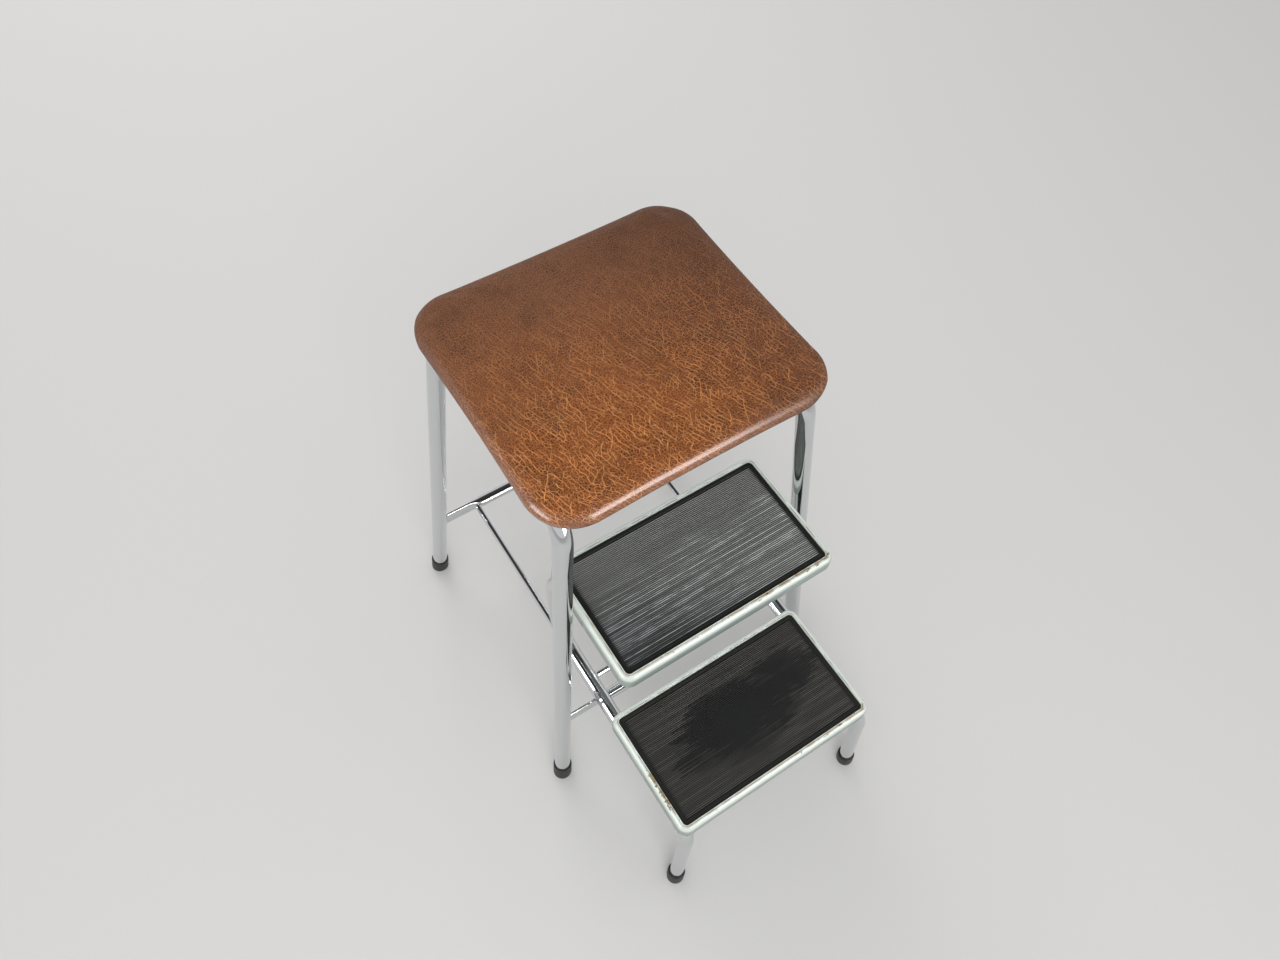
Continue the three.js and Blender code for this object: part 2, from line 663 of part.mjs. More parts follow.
// Pressed tray: a floor for the mat, a lip beside it, a rim that rounds off outward and a skirt
function trayPressing(centreY, stepHeight) {
  const floor = stepHeight - MAT_THICKNESS - CLEARANCE;
  const well = TRAY_RIM_WIDTH - MAT_SIDE_GAP;
  const crest = well - TRAY_LIP_WIDTH;
  const skirtTop = stepHeight - TRAY_RIM_DROP;
  const skirtEnd = stepHeight - TRAY_SKIRT_DEPTH;
  const roundPoint = (i, offset) => {
    const turn = (i / RIM_STEPS) * (Math.PI / 2);
    return [
      crest - (crest - offset) * Math.cos(turn),
      skirtTop + (TRAY_RIM_RISE + TRAY_RIM_DROP - offset) * Math.sin(turn),
    ];
  };
  const steps = Array.from({ length: RIM_STEPS + 1 }, (_, i) => i);
  const profile = [
    [well, floor],
    [well, stepHeight + TRAY_RIM_RISE / 2],
    [well - TRAY_LIP_WIDTH / 3, stepHeight + TRAY_RIM_RISE],
    ...steps.toReversed().map((i) => roundPoint(i, 0)),
    [0, skirtEnd],
    [TRAY_WALL, skirtEnd],
    ...steps.map((i) => roundPoint(i, TRAY_WALL)),
    [well - TRAY_WALL, stepHeight],
    [well - TRAY_WALL, floor],
    [well, floor - TRAY_WALL],
  ];
  return loft(profile.map(([inset, height]) => ringAt(
    roundedRectangle(
      TRAY_WIDTH - 2 * inset, TRAY_DEPTH - 2 * inset, TRAY_CORNER_RADIUS - inset, CORNER_STEPS,
    ), centreY, height,
  )));
}

// Holes for the rivets through a tray floor
function trayRivetHoles(points) {
  return points.map((point) => uprightHole(
    point, RIVET_SHANK_RADIUS + CLEARANCE,
    point.z + STEP_TUBE_RADIUS - CLEARANCE, point.z + MAT_TO_TUBE,
  ));
}

// Lower tray, with its back skirt notched over the step tubes
function lowerTray() {
  const trayBack = -LOWER_STEP_REACH + TRAY_DEPTH / 2;
  const notches = [-1, 1].flatMap((side) => {
    const from = new THREE.Vector3(side * STEP_TUBE_X, trayBack - TRAY_CORNER_RADIUS, LOWER_RUN_HEIGHT);
    const to = new THREE.Vector3(side * STEP_TUBE_X, trayBack + CUT_OVERRUN, LOWER_RUN_HEIGHT);
    const arch = rodBetween(from, to, STEP_TUBE_RADIUS + 2 * CLEARANCE, 2 * TUBE_SIDES);
    const slot = new THREE.BoxGeometry(
      STEP_TUBE_DIAMETER + 4 * CLEARANCE, to.y - from.y, STEP_TUBE_DIAMETER,
    ).translate(side * STEP_TUBE_X, (from.y + to.y) / 2, LOWER_RUN_HEIGHT - STEP_TUBE_RADIUS);
    return [arch, slot];
  });
  const holes = trayRivetHoles([-1, 1].flatMap(lowerRivetPoints));
  return cutBy(trayPressing(-LOWER_STEP_REACH, LOWER_STEP_HEIGHT), [...notches, ...holes]);
}

// Upper tray, which ends above the bend of the step tubes
function upperTray() {
  const holes = trayRivetHoles([-1, 1].flatMap(upperRivetPoints));
  return cutBy(trayPressing(-UPPER_STEP_REACH, UPPER_STEP_HEIGHT), holes);
}

// Comb of ribs across the depth of a mat, drawn along its width
function ribComb(width, depth) {
  const count = Math.floor(depth / RIB_PITCH);
  const first = (-(count - 1) / 2) * RIB_PITCH;
  const comb = new THREE.Shape();
  comb.moveTo(first - RIB_PITCH / 2, -RIB_HEIGHT - CLEARANCE);
  comb.lineTo(-first + RIB_PITCH / 2, -RIB_HEIGHT - CLEARANCE);
  comb.lineTo(-first + RIB_PITCH / 2, -RIB_HEIGHT);
  for (let i = count - 1; i >= 0; i -= 1) {
    const middle = first + i * RIB_PITCH;
    comb.lineTo(middle + RIB_FOOT_WIDTH / 2, -RIB_HEIGHT);
    comb.lineTo(middle + RIB_CREST_WIDTH / 2, 0);
    comb.lineTo(middle - RIB_CREST_WIDTH / 2, 0);
    comb.lineTo(middle - RIB_FOOT_WIDTH / 2, -RIB_HEIGHT);
  }
  comb.lineTo(first - RIB_PITCH / 2, -RIB_HEIGHT);
  return place(
    new THREE.ExtrudeGeometry(comb, { depth: width, bevelEnabled: false }),
    Y_AXIS, Z_AXIS, X_AXIS, new THREE.Vector3(-width / 2, 0, 0),
  );
}

// Ribbed mat: a plain border round a sunk field of ribs, with pockets below for the rivet heads
function stepMat(centreY, stepHeight, rivets) {
  const cornerRadius = TRAY_CORNER_RADIUS - TRAY_RIM_WIDTH;
  const slab = new THREE.ExtrudeGeometry(
    new THREE.Shape(roundedRectangle(MAT_WIDTH, MAT_DEPTH, cornerRadius, CORNER_STEPS)),
    { depth: MAT_THICKNESS, bevelEnabled: false },
  ).translate(0, 0, -MAT_THICKNESS);
  const fieldWidth = MAT_WIDTH - 2 * MAT_BORDER;
  const fieldDepth = MAT_DEPTH - 2 * MAT_BORDER;
  const well = new THREE.BoxGeometry(fieldWidth, fieldDepth, 2 * RIB_HEIGHT);
  const ribs = ribComb(fieldWidth - 2 * MAT_GROOVE, fieldDepth - 2 * MAT_GROOVE);
  const mat = joinedWith(cutBy(slab, [well]), [ribs]).translate(0, centreY, stepHeight);
  const pocketTop = stepHeight - MAT_THICKNESS + RIVET_HEAD_HEIGHT + CLEARANCE;
  const pockets = rivets.map((point) => uprightHole(
    point, RIVET_HEAD_RADIUS + CLEARANCE, stepHeight - MAT_THICKNESS - CUT_OVERRUN, pocketTop,
  ));
  return cutBy(mat, pockets);
}

// Rivet with its head on the tray floor and its upset tail inside the step tube
function trayRivet(point) {
  const head = STEP_TUBE_RADIUS + 2 * CLEARANCE + TRAY_WALL + CLEARANCE;
  const tail = STEP_TUBE_RADIUS - STEP_TUBE_WALL - 2 * CLEARANCE;
  const profile = [
    new THREE.Vector2(0, tail - RIVET_TAIL_HEIGHT),
    new THREE.Vector2(RIVET_TAIL_RADIUS, tail - RIVET_TAIL_HEIGHT),
    new THREE.Vector2(RIVET_TAIL_RADIUS, tail - RIVET_TAIL_HEIGHT / 3),
    new THREE.Vector2(RIVET_SHANK_RADIUS, tail),
    new THREE.Vector2(RIVET_SHANK_RADIUS, head),
    new THREE.Vector2(RIVET_HEAD_RADIUS, head),
    new THREE.Vector2(RIVET_HEAD_RADIUS / 2, head + RIVET_HEAD_HEIGHT),
    new THREE.Vector2(0, head + RIVET_HEAD_HEIGHT),
  ];
  return place(new THREE.LatheGeometry(profile, RIVET_SIDES), X_AXIS, Z_AXIS, Y_AXIS.clone().negate(), point);
}

// Named mesh with its own copy of a finish
function piece(name, geometry, material) {
  const mesh = new THREE.Mesh(geometry, material.clone());
  mesh.name = name;
  return mesh;
}

// The pieces that stand still: seat, side frames, crossbars, guide rods and leg caps
function mainFrame() {
  const group = new THREE.Group();
  group.add(piece('seat_pad', seatPad(), leatherette));
  group.add(piece('seat_board', seatBoard(), plywood));
  group.add(piece('front_crossbar', crossbar(-1), chrome));
  group.add(piece('rear_crossbar', crossbar(1), chrome));
  for (const [side, sideName] of [[-1, 'left'], [1, 'right']]) {
    group.add(piece(`side_frame_${sideName}`, sideFrame(side), chrome));
    group.add(piece(`guide_rod_${sideName}`, guideRod(side), chrome));
    group.add(piece(`leg_cap_front_${sideName}`, legCap(side, -1), rubber));
    group.add(piece(`leg_cap_rear_${sideName}`, legCap(side, 1), rubber));
    seatScrewPoints(side).forEach((point, i) => {
      group.add(piece(`seat_screw_${ENDS[i]}_${sideName}`, seatScrew(point), zinc));
    });
  }
  return group;
}

// The pieces that slide: step tubes, tie rod, guide eyes, trays, mats, rivets and step caps
function stepUnit() {
  const group = new THREE.Group();
  const lowerRivets = [-1, 1].flatMap(lowerRivetPoints);
  const upperRivets = [-1, 1].flatMap(upperRivetPoints);
  group.add(piece('tie_rod', tieRod(), chrome));
  group.add(piece('lower_tray', lowerTray(), enamel));
  group.add(piece('upper_tray', upperTray(), enamel));
  group.add(piece('lower_mat', stepMat(-LOWER_STEP_REACH, LOWER_STEP_HEIGHT, lowerRivets), rubber));
  group.add(piece('upper_mat', stepMat(-UPPER_STEP_REACH, UPPER_STEP_HEIGHT, upperRivets), rubber));
  for (const [side, sideName] of [[-1, 'left'], [1, 'right']]) {
    group.add(piece(`step_tube_${sideName}`, stepTube(side), chrome));
    group.add(piece(`step_cap_${sideName}`, stepCap(side), rubber));
    group.add(piece(`front_guide_eye_${sideName}`, guideEye(side, FRONT_EYE_Y), chrome));
    group.add(piece(`rear_guide_eye_${sideName}`, guideEye(side, FRONT_EYE_Y + EYE_PITCH), chrome));
    lowerRivetPoints(side).forEach((point, i) => {
      group.add(piece(`lower_rivet_${ENDS[i]}_${sideName}`, trayRivet(point), zinc));
    });
    upperRivetPoints(side).forEach((point, i) => {
      group.add(piece(`upper_rivet_${ENDS[i]}_${sideName}`, trayRivet(point), zinc));
    });
  }
  return group;
}

// The whole stool, moved so that the origin is on the floor in the middle of its plan
const stool = new THREE.Group();
stool.name = 'step_stool';
stool.add(mainFrame(), stepUnit());
const extent = new THREE.Box3().setFromObject(stool);
stool.position.y = -(extent.min.y + extent.max.y) / 2;
stool.updateMatrixWorld(true);

export default stool;
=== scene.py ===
"""Looks of a kitchen stool with pull-out steps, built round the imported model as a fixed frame.

The main frame stands still: seat, side frames, crossbars, guide rods and leg caps. The step unit
slides on the guide rods: step tubes, tie rod, guide eyes, trays, mats and step caps. Lengths are in
metres, +Z is up, the steps come out towards -Y and left is -X.
"""

from __future__ import annotations

import json
import logging
import math
from collections.abc import Iterable
from dataclasses import dataclass, field
from enum import Enum

import bpy
import numpy as np
from mathutils import Matrix, Vector, noise

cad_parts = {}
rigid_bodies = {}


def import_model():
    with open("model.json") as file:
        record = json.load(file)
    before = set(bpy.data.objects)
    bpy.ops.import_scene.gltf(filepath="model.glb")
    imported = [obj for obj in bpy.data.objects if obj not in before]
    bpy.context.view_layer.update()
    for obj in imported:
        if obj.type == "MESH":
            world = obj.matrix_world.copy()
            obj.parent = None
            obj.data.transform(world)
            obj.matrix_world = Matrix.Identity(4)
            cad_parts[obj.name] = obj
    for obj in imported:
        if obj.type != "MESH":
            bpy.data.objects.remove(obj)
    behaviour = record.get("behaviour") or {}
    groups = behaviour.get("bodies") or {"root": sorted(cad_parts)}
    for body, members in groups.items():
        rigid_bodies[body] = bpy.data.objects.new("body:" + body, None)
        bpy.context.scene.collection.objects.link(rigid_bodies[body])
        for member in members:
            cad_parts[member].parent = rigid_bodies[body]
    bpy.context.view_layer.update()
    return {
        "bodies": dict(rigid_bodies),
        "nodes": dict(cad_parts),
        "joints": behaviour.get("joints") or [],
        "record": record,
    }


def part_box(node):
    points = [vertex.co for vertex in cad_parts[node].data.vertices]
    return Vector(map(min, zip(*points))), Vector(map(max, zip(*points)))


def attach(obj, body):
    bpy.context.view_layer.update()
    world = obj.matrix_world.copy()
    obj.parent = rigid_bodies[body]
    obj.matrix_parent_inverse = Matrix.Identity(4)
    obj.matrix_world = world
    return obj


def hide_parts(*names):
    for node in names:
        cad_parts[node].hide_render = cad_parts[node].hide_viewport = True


LOG = logging.getLogger("step_stool")

FRAME_BODY = "frame"
STEP_BODY = "step_unit"

TUBE_SIDES = 56
ROD_SIDES = 36
CAP_SIDES = 48
EYE_SIDES = 144
ARC_STEP = math.radians(3)
SHARP_ANGLE = math.radians(38)
SOFT_ANGLE = math.radians(60)
CAP_FLOOR = 0.005
WELD_SHARES = ((-0.35, 1.1), (0.3, 0.62), (0.9, 0.25), (1.8, 0.0))
FLAT_WELD_SHARES = ((-0.5, 1.0), (0.2, 0.6), (0.8, 0.22), (1.6, 0.0))

Ring = list[Vector]
Station = tuple[Vector, Vector]
Frame = tuple[Vector, Vector, Vector]
Section = list[tuple[float, float]]
Colour = tuple[float, float, float]
Socket = bpy.types.NodeSocket
Material = bpy.types.Material
Piece = bpy.types.Object

Y_AXIS = Vector((0, 1, 0))
Z_AXIS = Vector((0, 0, 1))


class Named(Enum):
    """A choice whose name is part of the nodes' names."""

    @property
    def word(self) -> str:
        """The name as the nodes have it."""
        return self.name.lower()


class Side(Named):
    """Left or right half of the stool, seen from the steps."""

    LEFT = -1
    RIGHT = 1


class End(Named):
    """Front or rear half of the stool."""

    FRONT = -1
    REAR = 1


class Step(Named):
    """The two steps."""

    LOWER = 1
    UPPER = 2


# Meshes


@dataclass
class Skin:
    """Points and faces of one piece while it is being made."""

    name: str
    points: list[Vector] = field(default_factory=list)
    faces: list[tuple[int, ...]] = field(default_factory=list)

    def add_ring(self, ring: Iterable[Vector]) -> range:
        """Adds points.

        Args:
            ring: The points, in order.

        Returns:
            Their indices.
        """
        start = len(self.points)
        self.points.extend(ring)
        return range(start, len(self.points))

    def join(self, first: range, second: range) -> None:
        """Adds the quads between two rings of as many points."""
        around = [*range(1, len(first)), 0]
        self.faces += [(first[i], first[j], second[j], second[i]) for i, j in enumerate(around)]

    def fan(self, ring: range) -> None:
        """Closes a ring with triangles about its middle.

        Args:
            ring: Indices of the ring.
        """
        centre = sum((self.points[i] for i in ring), Vector()) / len(ring)
        middle = self.add_ring([centre])[0]
        self.faces += [(a, b, middle) for a, b in zip(ring, [*ring[1:], ring[0]])]

    def loft(self, rings: list[Ring], looped: bool = False) -> list[range]:
        """Adds rings and the quads between them.

        Args:
            rings: The rings, each with as many points.
            looped: Whether the last ring joins the first.

        Returns:
            The indices of each ring.
        """
        added = [self.add_ring(ring) for ring in rings]
        for first, second in zip(added, added[1:]):
            self.join(first, second)
        if looped:
            self.join(added[-1], added[0])
        return added

    def closed_loft(self, rings: list[Ring]) -> None:
        """Adds rings, the quads between them, and a fan at each end.

        Args:
            rings: The rings, each with as many points.
        """
        added = self.loft(rings)
        self.fan(added[0])
        self.fan(added[-1])

    def finish(self, material: Material, sharp: float = SHARP_ANGLE) -> Piece:
        """Makes the Blender object.

        Args:
            material: Its finish.
            sharp: Angle from which an edge stays sharp.

        Returns:
            The object, at the origin.
        """
        mesh = bpy.data.meshes.new(self.name)
        mesh.from_pydata([point[:] for point in self.points], [], self.faces)
        mesh.validate()
        turn_outwards(mesh)
        mesh.shade_smooth()
        mesh.set_sharp_from_angle(angle=sharp)
        mesh.materials.append(material)
        piece = bpy.data.objects.new(self.name, mesh)
        bpy.context.scene.collection.objects.link(piece)
        return piece


def turn_outwards(mesh: bpy.types.Mesh) -> None:
    """Flips a closed mesh whose faces look inwards.

    Args:
        mesh: The mesh.
    """
    mesh.calc_loop_triangles()
    points = np.empty(len(mesh.vertices) * 3, np.float32)
    mesh.vertices.foreach_get("co", points)
    corners = np.empty(len(mesh.loop_triangles) * 3, np.int32)
    mesh.loop_triangles.foreach_get("vertices", corners)
    triangles = points.reshape(-1, 3)[corners.reshape(-1, 3)]
    first, second, third = (triangles[:, i] for i in range(3))
    volume = np.einsum("ij,ij->i", first, np.cross(second, third)).sum()
    if volume < 0:
        mesh.flip_normals()


def settle(piece: Piece, body: str, node: str) -> None:
    """Makes a piece ride on its body in place of the node that it stands for.

    Args:
        piece: The piece.
        body: Name of the body.
        node: Name of the node.
    """
    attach(piece, body)
    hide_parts(node)
    LOG.info("%s rides on %s", piece.name, body)


def dress(node: Piece, material: Material) -> None:
    """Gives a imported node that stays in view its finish.

    Args:
        node: The node's object.
        material: The finish.
    """
    node.data.materials.clear()
    node.data.materials.append(material)
    LOG.info("%s keeps its shape", node.name)


# Tubes and outlines


def lerp(start: float, end: float, share: float) -> float:
    """Value a share of the way from one to another."""
    return start + (end - start) * share


def smooth(share: float) -> float:
    """Share eased at both ends."""
    share = min(1.0, max(0.0, share))
    return share * share * (3 - 2 * share)


def quarter(steps: int) -> list[tuple[float, float]]:
    """Cosines and sines of evenly spaced angles over a quarter turn."""
    angles = [math.pi / 2 * i / steps for i in range(steps + 1)]
    return [(math.cos(angle), math.sin(angle)) for angle in angles]


def circle(frame: Frame, radius: float, sides: int) -> Ring:
    """Points of a circle.

    Args:
        frame: Middle and the two axes.
        radius: Radius.
        sides: Number of points.

    Returns:
        The points.
    """
    middle, spoke, across = frame
    angles = (2 * math.pi * i / sides for i in range(sides))
    return [middle + (spoke * math.cos(a) + across * math.sin(a)) * radius for a in angles]


def rounded_rectangle(
    middle: Vector, width: float, depth: float, radius: float, steps: int
) -> Ring:
    """Level rectangle with round corners.

    Args:
        middle: Its middle.
        width: Size along X.
        depth: Size along Y.
        radius: Corner radius.
        steps: Steps in each corner.

    Returns:
        The points.
    """
    points = []
    for turn, (sign_x, sign_y) in enumerate(((1, 1), (-1, 1), (-1, -1), (1, -1))):
        centre = middle + Vector((sign_x * (width / 2 - radius), sign_y * (depth / 2 - radius), 0))
        for i in range(steps + 1):
            angle = (turn + i / steps) * math.pi / 2
            points.append(centre + Vector((math.cos(angle), math.sin(angle), 0)) * radius)
    return points


@dataclass
class BentLine:
    """Centre line of a bent tube: straight runs joined by an arc at each inner corner.

    Attributes:
        corners: Ends and inner corners.
        radii: Bend radius at each inner corner.
    """

    corners: list[Vector]
    radii: list[float]

    def stations(self) -> list[Station]:
        """Points along the line with their directions."""
        ends = self.corners
        found = [(ends[0].copy(), (ends[1] - ends[0]).normalized())]
        for number in range(len(self.radii)):
            found.extend(self.bend(number))
        found.append((ends[-1].copy(), (ends[-1] - ends[-2]).normalized()))
        return found

    def bend(self, number: int) -> list[Station]:
        """Points with their directions along one arc.

        Args:
            number: Number of the arc, from 0.

        Returns:
            The points and directions.
        """
        before, corner, after = self.corners[number:number + 3]
        radius = self.radii[number]
        into, out = (corner - before).normalized(), (after - corner).normalized()
        turn = into.angle(out)
        start = corner - into * (radius * math.tan(turn / 2))
        side = (out - into * into.dot(out)).normalized()
        steps = max(2, math.ceil(turn / ARC_STEP))
        found = []
        for i in range(steps + 1):
            angle = turn * i / steps
            place = start + into * (radius * math.sin(angle))
            place += side * (radius * (1 - math.cos(angle)))
            found.append((place, into * math.cos(angle) + side * math.sin(angle)))
        return found


def swept_frames(stations: list[Station]) -> list[Frame]:
    """Axes for a section along a line, turned as little as the line allows.

    Args:
        stations: Points with their directions.

    Returns:
        For each one, the point and the two axes of the section.
    """
    direction = stations[0][1]
    spoke = direction.orthogonal().normalized()
    frames = []
    for point, ahead in stations:
        spoke = direction.rotation_difference(ahead) @ spoke
        direction = ahead
        frames.append((point, spoke.copy(), ahead.cross(spoke)))
    return frames


@dataclass
class Tube:
    """A tube along a bent line, with softly broken edges at its ends.

    Attributes:
        line: Centre line.
        radius: Outer radius.
        wall: Thickness of the wall.
        lip: Size of the broken edge.
    """

    line: BentLine
    radius: float
    wall: float
    lip: float = 0.0004

    def rings(self) -> list[Ring]:
        """Rings over the outside and back through the bore."""
        start, *between, end = self.line.stations()
        near_start = (start[0] + start[1] * self.lip, start[1])
        near_end = (end[0] - end[1] * self.lip, end[1])
        frames = swept_frames([start, near_start, *between, near_end, end])
        skins = []
        for radius, lip in ((self.radius, self.lip), (self.radius - self.wall, -self.lip)):
            radii = [radius - lip, *[radius] * (len(frames) - 2), radius - lip]
            skins.append([circle(frame, size, TUBE_SIDES) for frame, size in zip(frames, radii)])
        return skins[0] + skins[1][::-1]

    def make(self, name: str, material: Material) -> Piece:
        """Makes the tube.

        Args:
            name: Name of the piece.
            material: Its finish.

        Returns:
            The object.
        """
        skin = Skin(name)
        skin.loft(self.rings(), looped=True)
        return skin.finish(material)


@dataclass
class WeldedRod:
    """A level rod whose ends run into two level tubes with a small weld fillet.

    Attributes:
        start: One end, on the axis of the tube that it meets.
        end: The other end.
        radius: Radius of the rod.
        host_radius: Radius of the two tubes.
        fillet: Size of the welds.
    """

    start: Vector
    end: Vector
    radius: float
    host_radius: float
    fillet: float = 0.0012

    def make(self, name: str, material: Material) -> Piece:
        """Makes the rod.

        Args:
            name: Name of the piece.
            material: Its finish.

        Returns:
            The object.
        """
        axis = (self.end - self.start).normalized()
        rings = [self.weld_ring(self.start, axis, *shares) for shares in WELD_SHARES]
        rings += [self.weld_ring(self.end, -axis, *shares) for shares in reversed(WELD_SHARES)]
        skin = Skin(name)
        skin.closed_loft(rings)
        return skin.finish(material)

    def weld_ring(self, end: Vector, into: Vector, reach: float, growth: float) -> Ring:
        """One ring of a weld.

        Args:
            end: This end of the rod.
            into: Direction from it into the rod.
            reach: Distance from the tube that it meets, as a share of the fillet.
            growth: Growth of the radius, as a share of the fillet.

        Returns:
            The points.
        """
        axis = (self.end - self.start).normalized()
        spoke = axis.orthogonal().normalized()
        ring = []
        for outward in circle((Vector(), spoke, axis.cross(spoke)), 1.0, ROD_SIDES):
            setback = math.sqrt(self.host_radius**2 - (outward.z * self.radius) ** 2)
            along = setback + reach * self.fillet
            ring.append(end + into * along + outward * (self.radius + growth * self.fillet))
        return ring


@dataclass
class Cap:
    """Rubber cap on the end of a tube, flat on the floor.

    Attributes:
        foot: Where the tube's centre line meets the floor.
        top: A higher point on the centre line.
        tube_radius: Radius of the tube.
        wall: Thickness of the cap's wall.
        height: Height of the cap along the tube.
        fit: Clear space between tube and cap.
        edge: Size of its round edges.
    """

    foot: Vector
    top: Vector
    tube_radius: float
    wall: float
    height: float
    fit: float = 0.0001
    edge: float = 0.0014

    def ring(self, radius: float, height: float, level: bool = False) -> Ring:
        """Ring round the tube's axis.

        Args:
            radius: Radius.
            height: Height above the floor, or way along the tube.
            level: Whether the ring is level, not square to the tube.

        Returns:
            The points.
        """
        axis = (self.top - self.foot).normalized()
        across = Y_AXIS.cross(axis).normalized()
        points = []
        for spoke in circle((Vector(), across, axis.cross(across)), radius, CAP_SIDES):
            way = (height - spoke.z) / axis.z if level else height
            points.append(self.foot + spoke + axis * way)
        return points

    def make(self, name: str, material: Material) -> Piece:
        """Makes the cap.

        Args:
            name: Name of the piece.
            material: Its finish.

        Returns:
            The object.
        """
        bore = self.tube_radius + self.fit
        outer = bore + self.wall
        lip = self.edge / 2
        rings = [
            self.ring(outer - self.edge * (1 - sine), self.edge * (1 - cosine), level=True)
            for cosine, sine in quarter(4)
        ]
        rings += [
            self.ring(outer, self.height - self.edge),
            self.ring(outer - 0.3 * lip, self.height - 0.35 * lip),
            self.ring(outer - lip, self.height),
            self.ring(bore, self.height),
            self.ring(bore, CAP_FLOOR),
        ]
        skin = Skin(name)
        skin.closed_loft(rings)
        return skin.finish(material)


# Finishes


@dataclass(frozen=True)
class Signal:
    """A number, place or colour that varies over a surface, with the usual sums on it."""

    wiring: Wiring
    socket: Socket

    def __add__(self, other: Value) -> Signal:
        """Sum."""
        return self.wiring.math("ADD", self, other)

    def __sub__(self, other: Value) -> Signal:
        """Difference."""
        return self.wiring.math("SUBTRACT", self, other)

    def __rsub__(self, other: Value) -> Signal:
        """Difference from a number."""
        return self.wiring.math("SUBTRACT", other, self)

    def __mul__(self, other: Value) -> Signal:
        """Product."""
        return self.wiring.math("MULTIPLY", self, other)

    def __abs__(self) -> Signal:
        """Size without the sign."""
        return self.wiring.math("ABSOLUTE", self)

    def largest(self, other: Value) -> Signal:
        """The larger of two values."""
        return self.wiring.math("MAXIMUM", self, other)

    def between(self, low: float, high: float) -> Signal:
        """Eased share of the way from one value, where it is 0, to another, where it is 1."""
        inputs = {"Value": self, "From Min": low, "From Max": high}
        return self.wiring.node("MapRange", inputs, "Result", interpolation_type="SMOOTHSTEP")

    def band(self, middle: float, half: float, edge: float) -> Signal:
        """1 within half a width of a middle value, falling to 0 over the edge beyond."""
        return abs(self - middle).between(half + edge, half)

    def mix(self, first: Value, second: Value) -> Signal:
        """Colour this share of the way from one to another."""
        return self.wiring.node("Mix", {0: self, 6: first, 7: second}, 2, data_type="RGBA")

    def blend(self, first: Value, second: Value) -> Signal:
        """Number this share of the way from one to another."""
        return self.wiring.node("Mix", {0: self, 2: first, 3: second})


Value = Signal | float | Colour


class Wiring:
    """Adds and joins the nodes of one node tree."""

    def __init__(self, tree: bpy.types.NodeTree) -> None:
        """Starts with a tree."""
        self.tree = tree

    def put(self, value: Value, target: Socket) -> None:
        """Joins a signal to a socket, or sets a value on it.

        Args:
            value: A signal, a number or a colour.
            target: The socket to fill.
        """
        if isinstance(value, Signal):
            self.tree.links.new(value.socket, target)
        elif isinstance(value, tuple) and target.type == "RGBA":
            target.default_value = (*value, 1)
        else:
            target.default_value = value

    def node(
        self,
        kind: str,
        inputs: dict[int | str, Value],
        output: int | str = 0,
        **settings: str | bool,
    ) -> Signal:
        """Adds a node.

        Args:
            kind: Blender's name for it, without its first part.
            inputs: What goes into its sockets.
            output: Which output is wanted.
            settings: Its other settings.

        Returns:
            The output.
        """
        node = self.tree.nodes.new(f"ShaderNode{kind}")
        for name, setting in settings.items():
            setattr(node, name, setting)
        for key, value in inputs.items():
            self.put(value, node.inputs[key])
        return Signal(self, node.outputs[output])

    def math(self, operation: str, a: Value, b: Value = 0.0, clamp: bool = False) -> Signal:
        """Blender's sum of a given name on one or two values, kept from 0 to 1 if clamped."""
        return self.node("Math", {0: a, 1: b}, operation=operation, use_clamp=clamp)


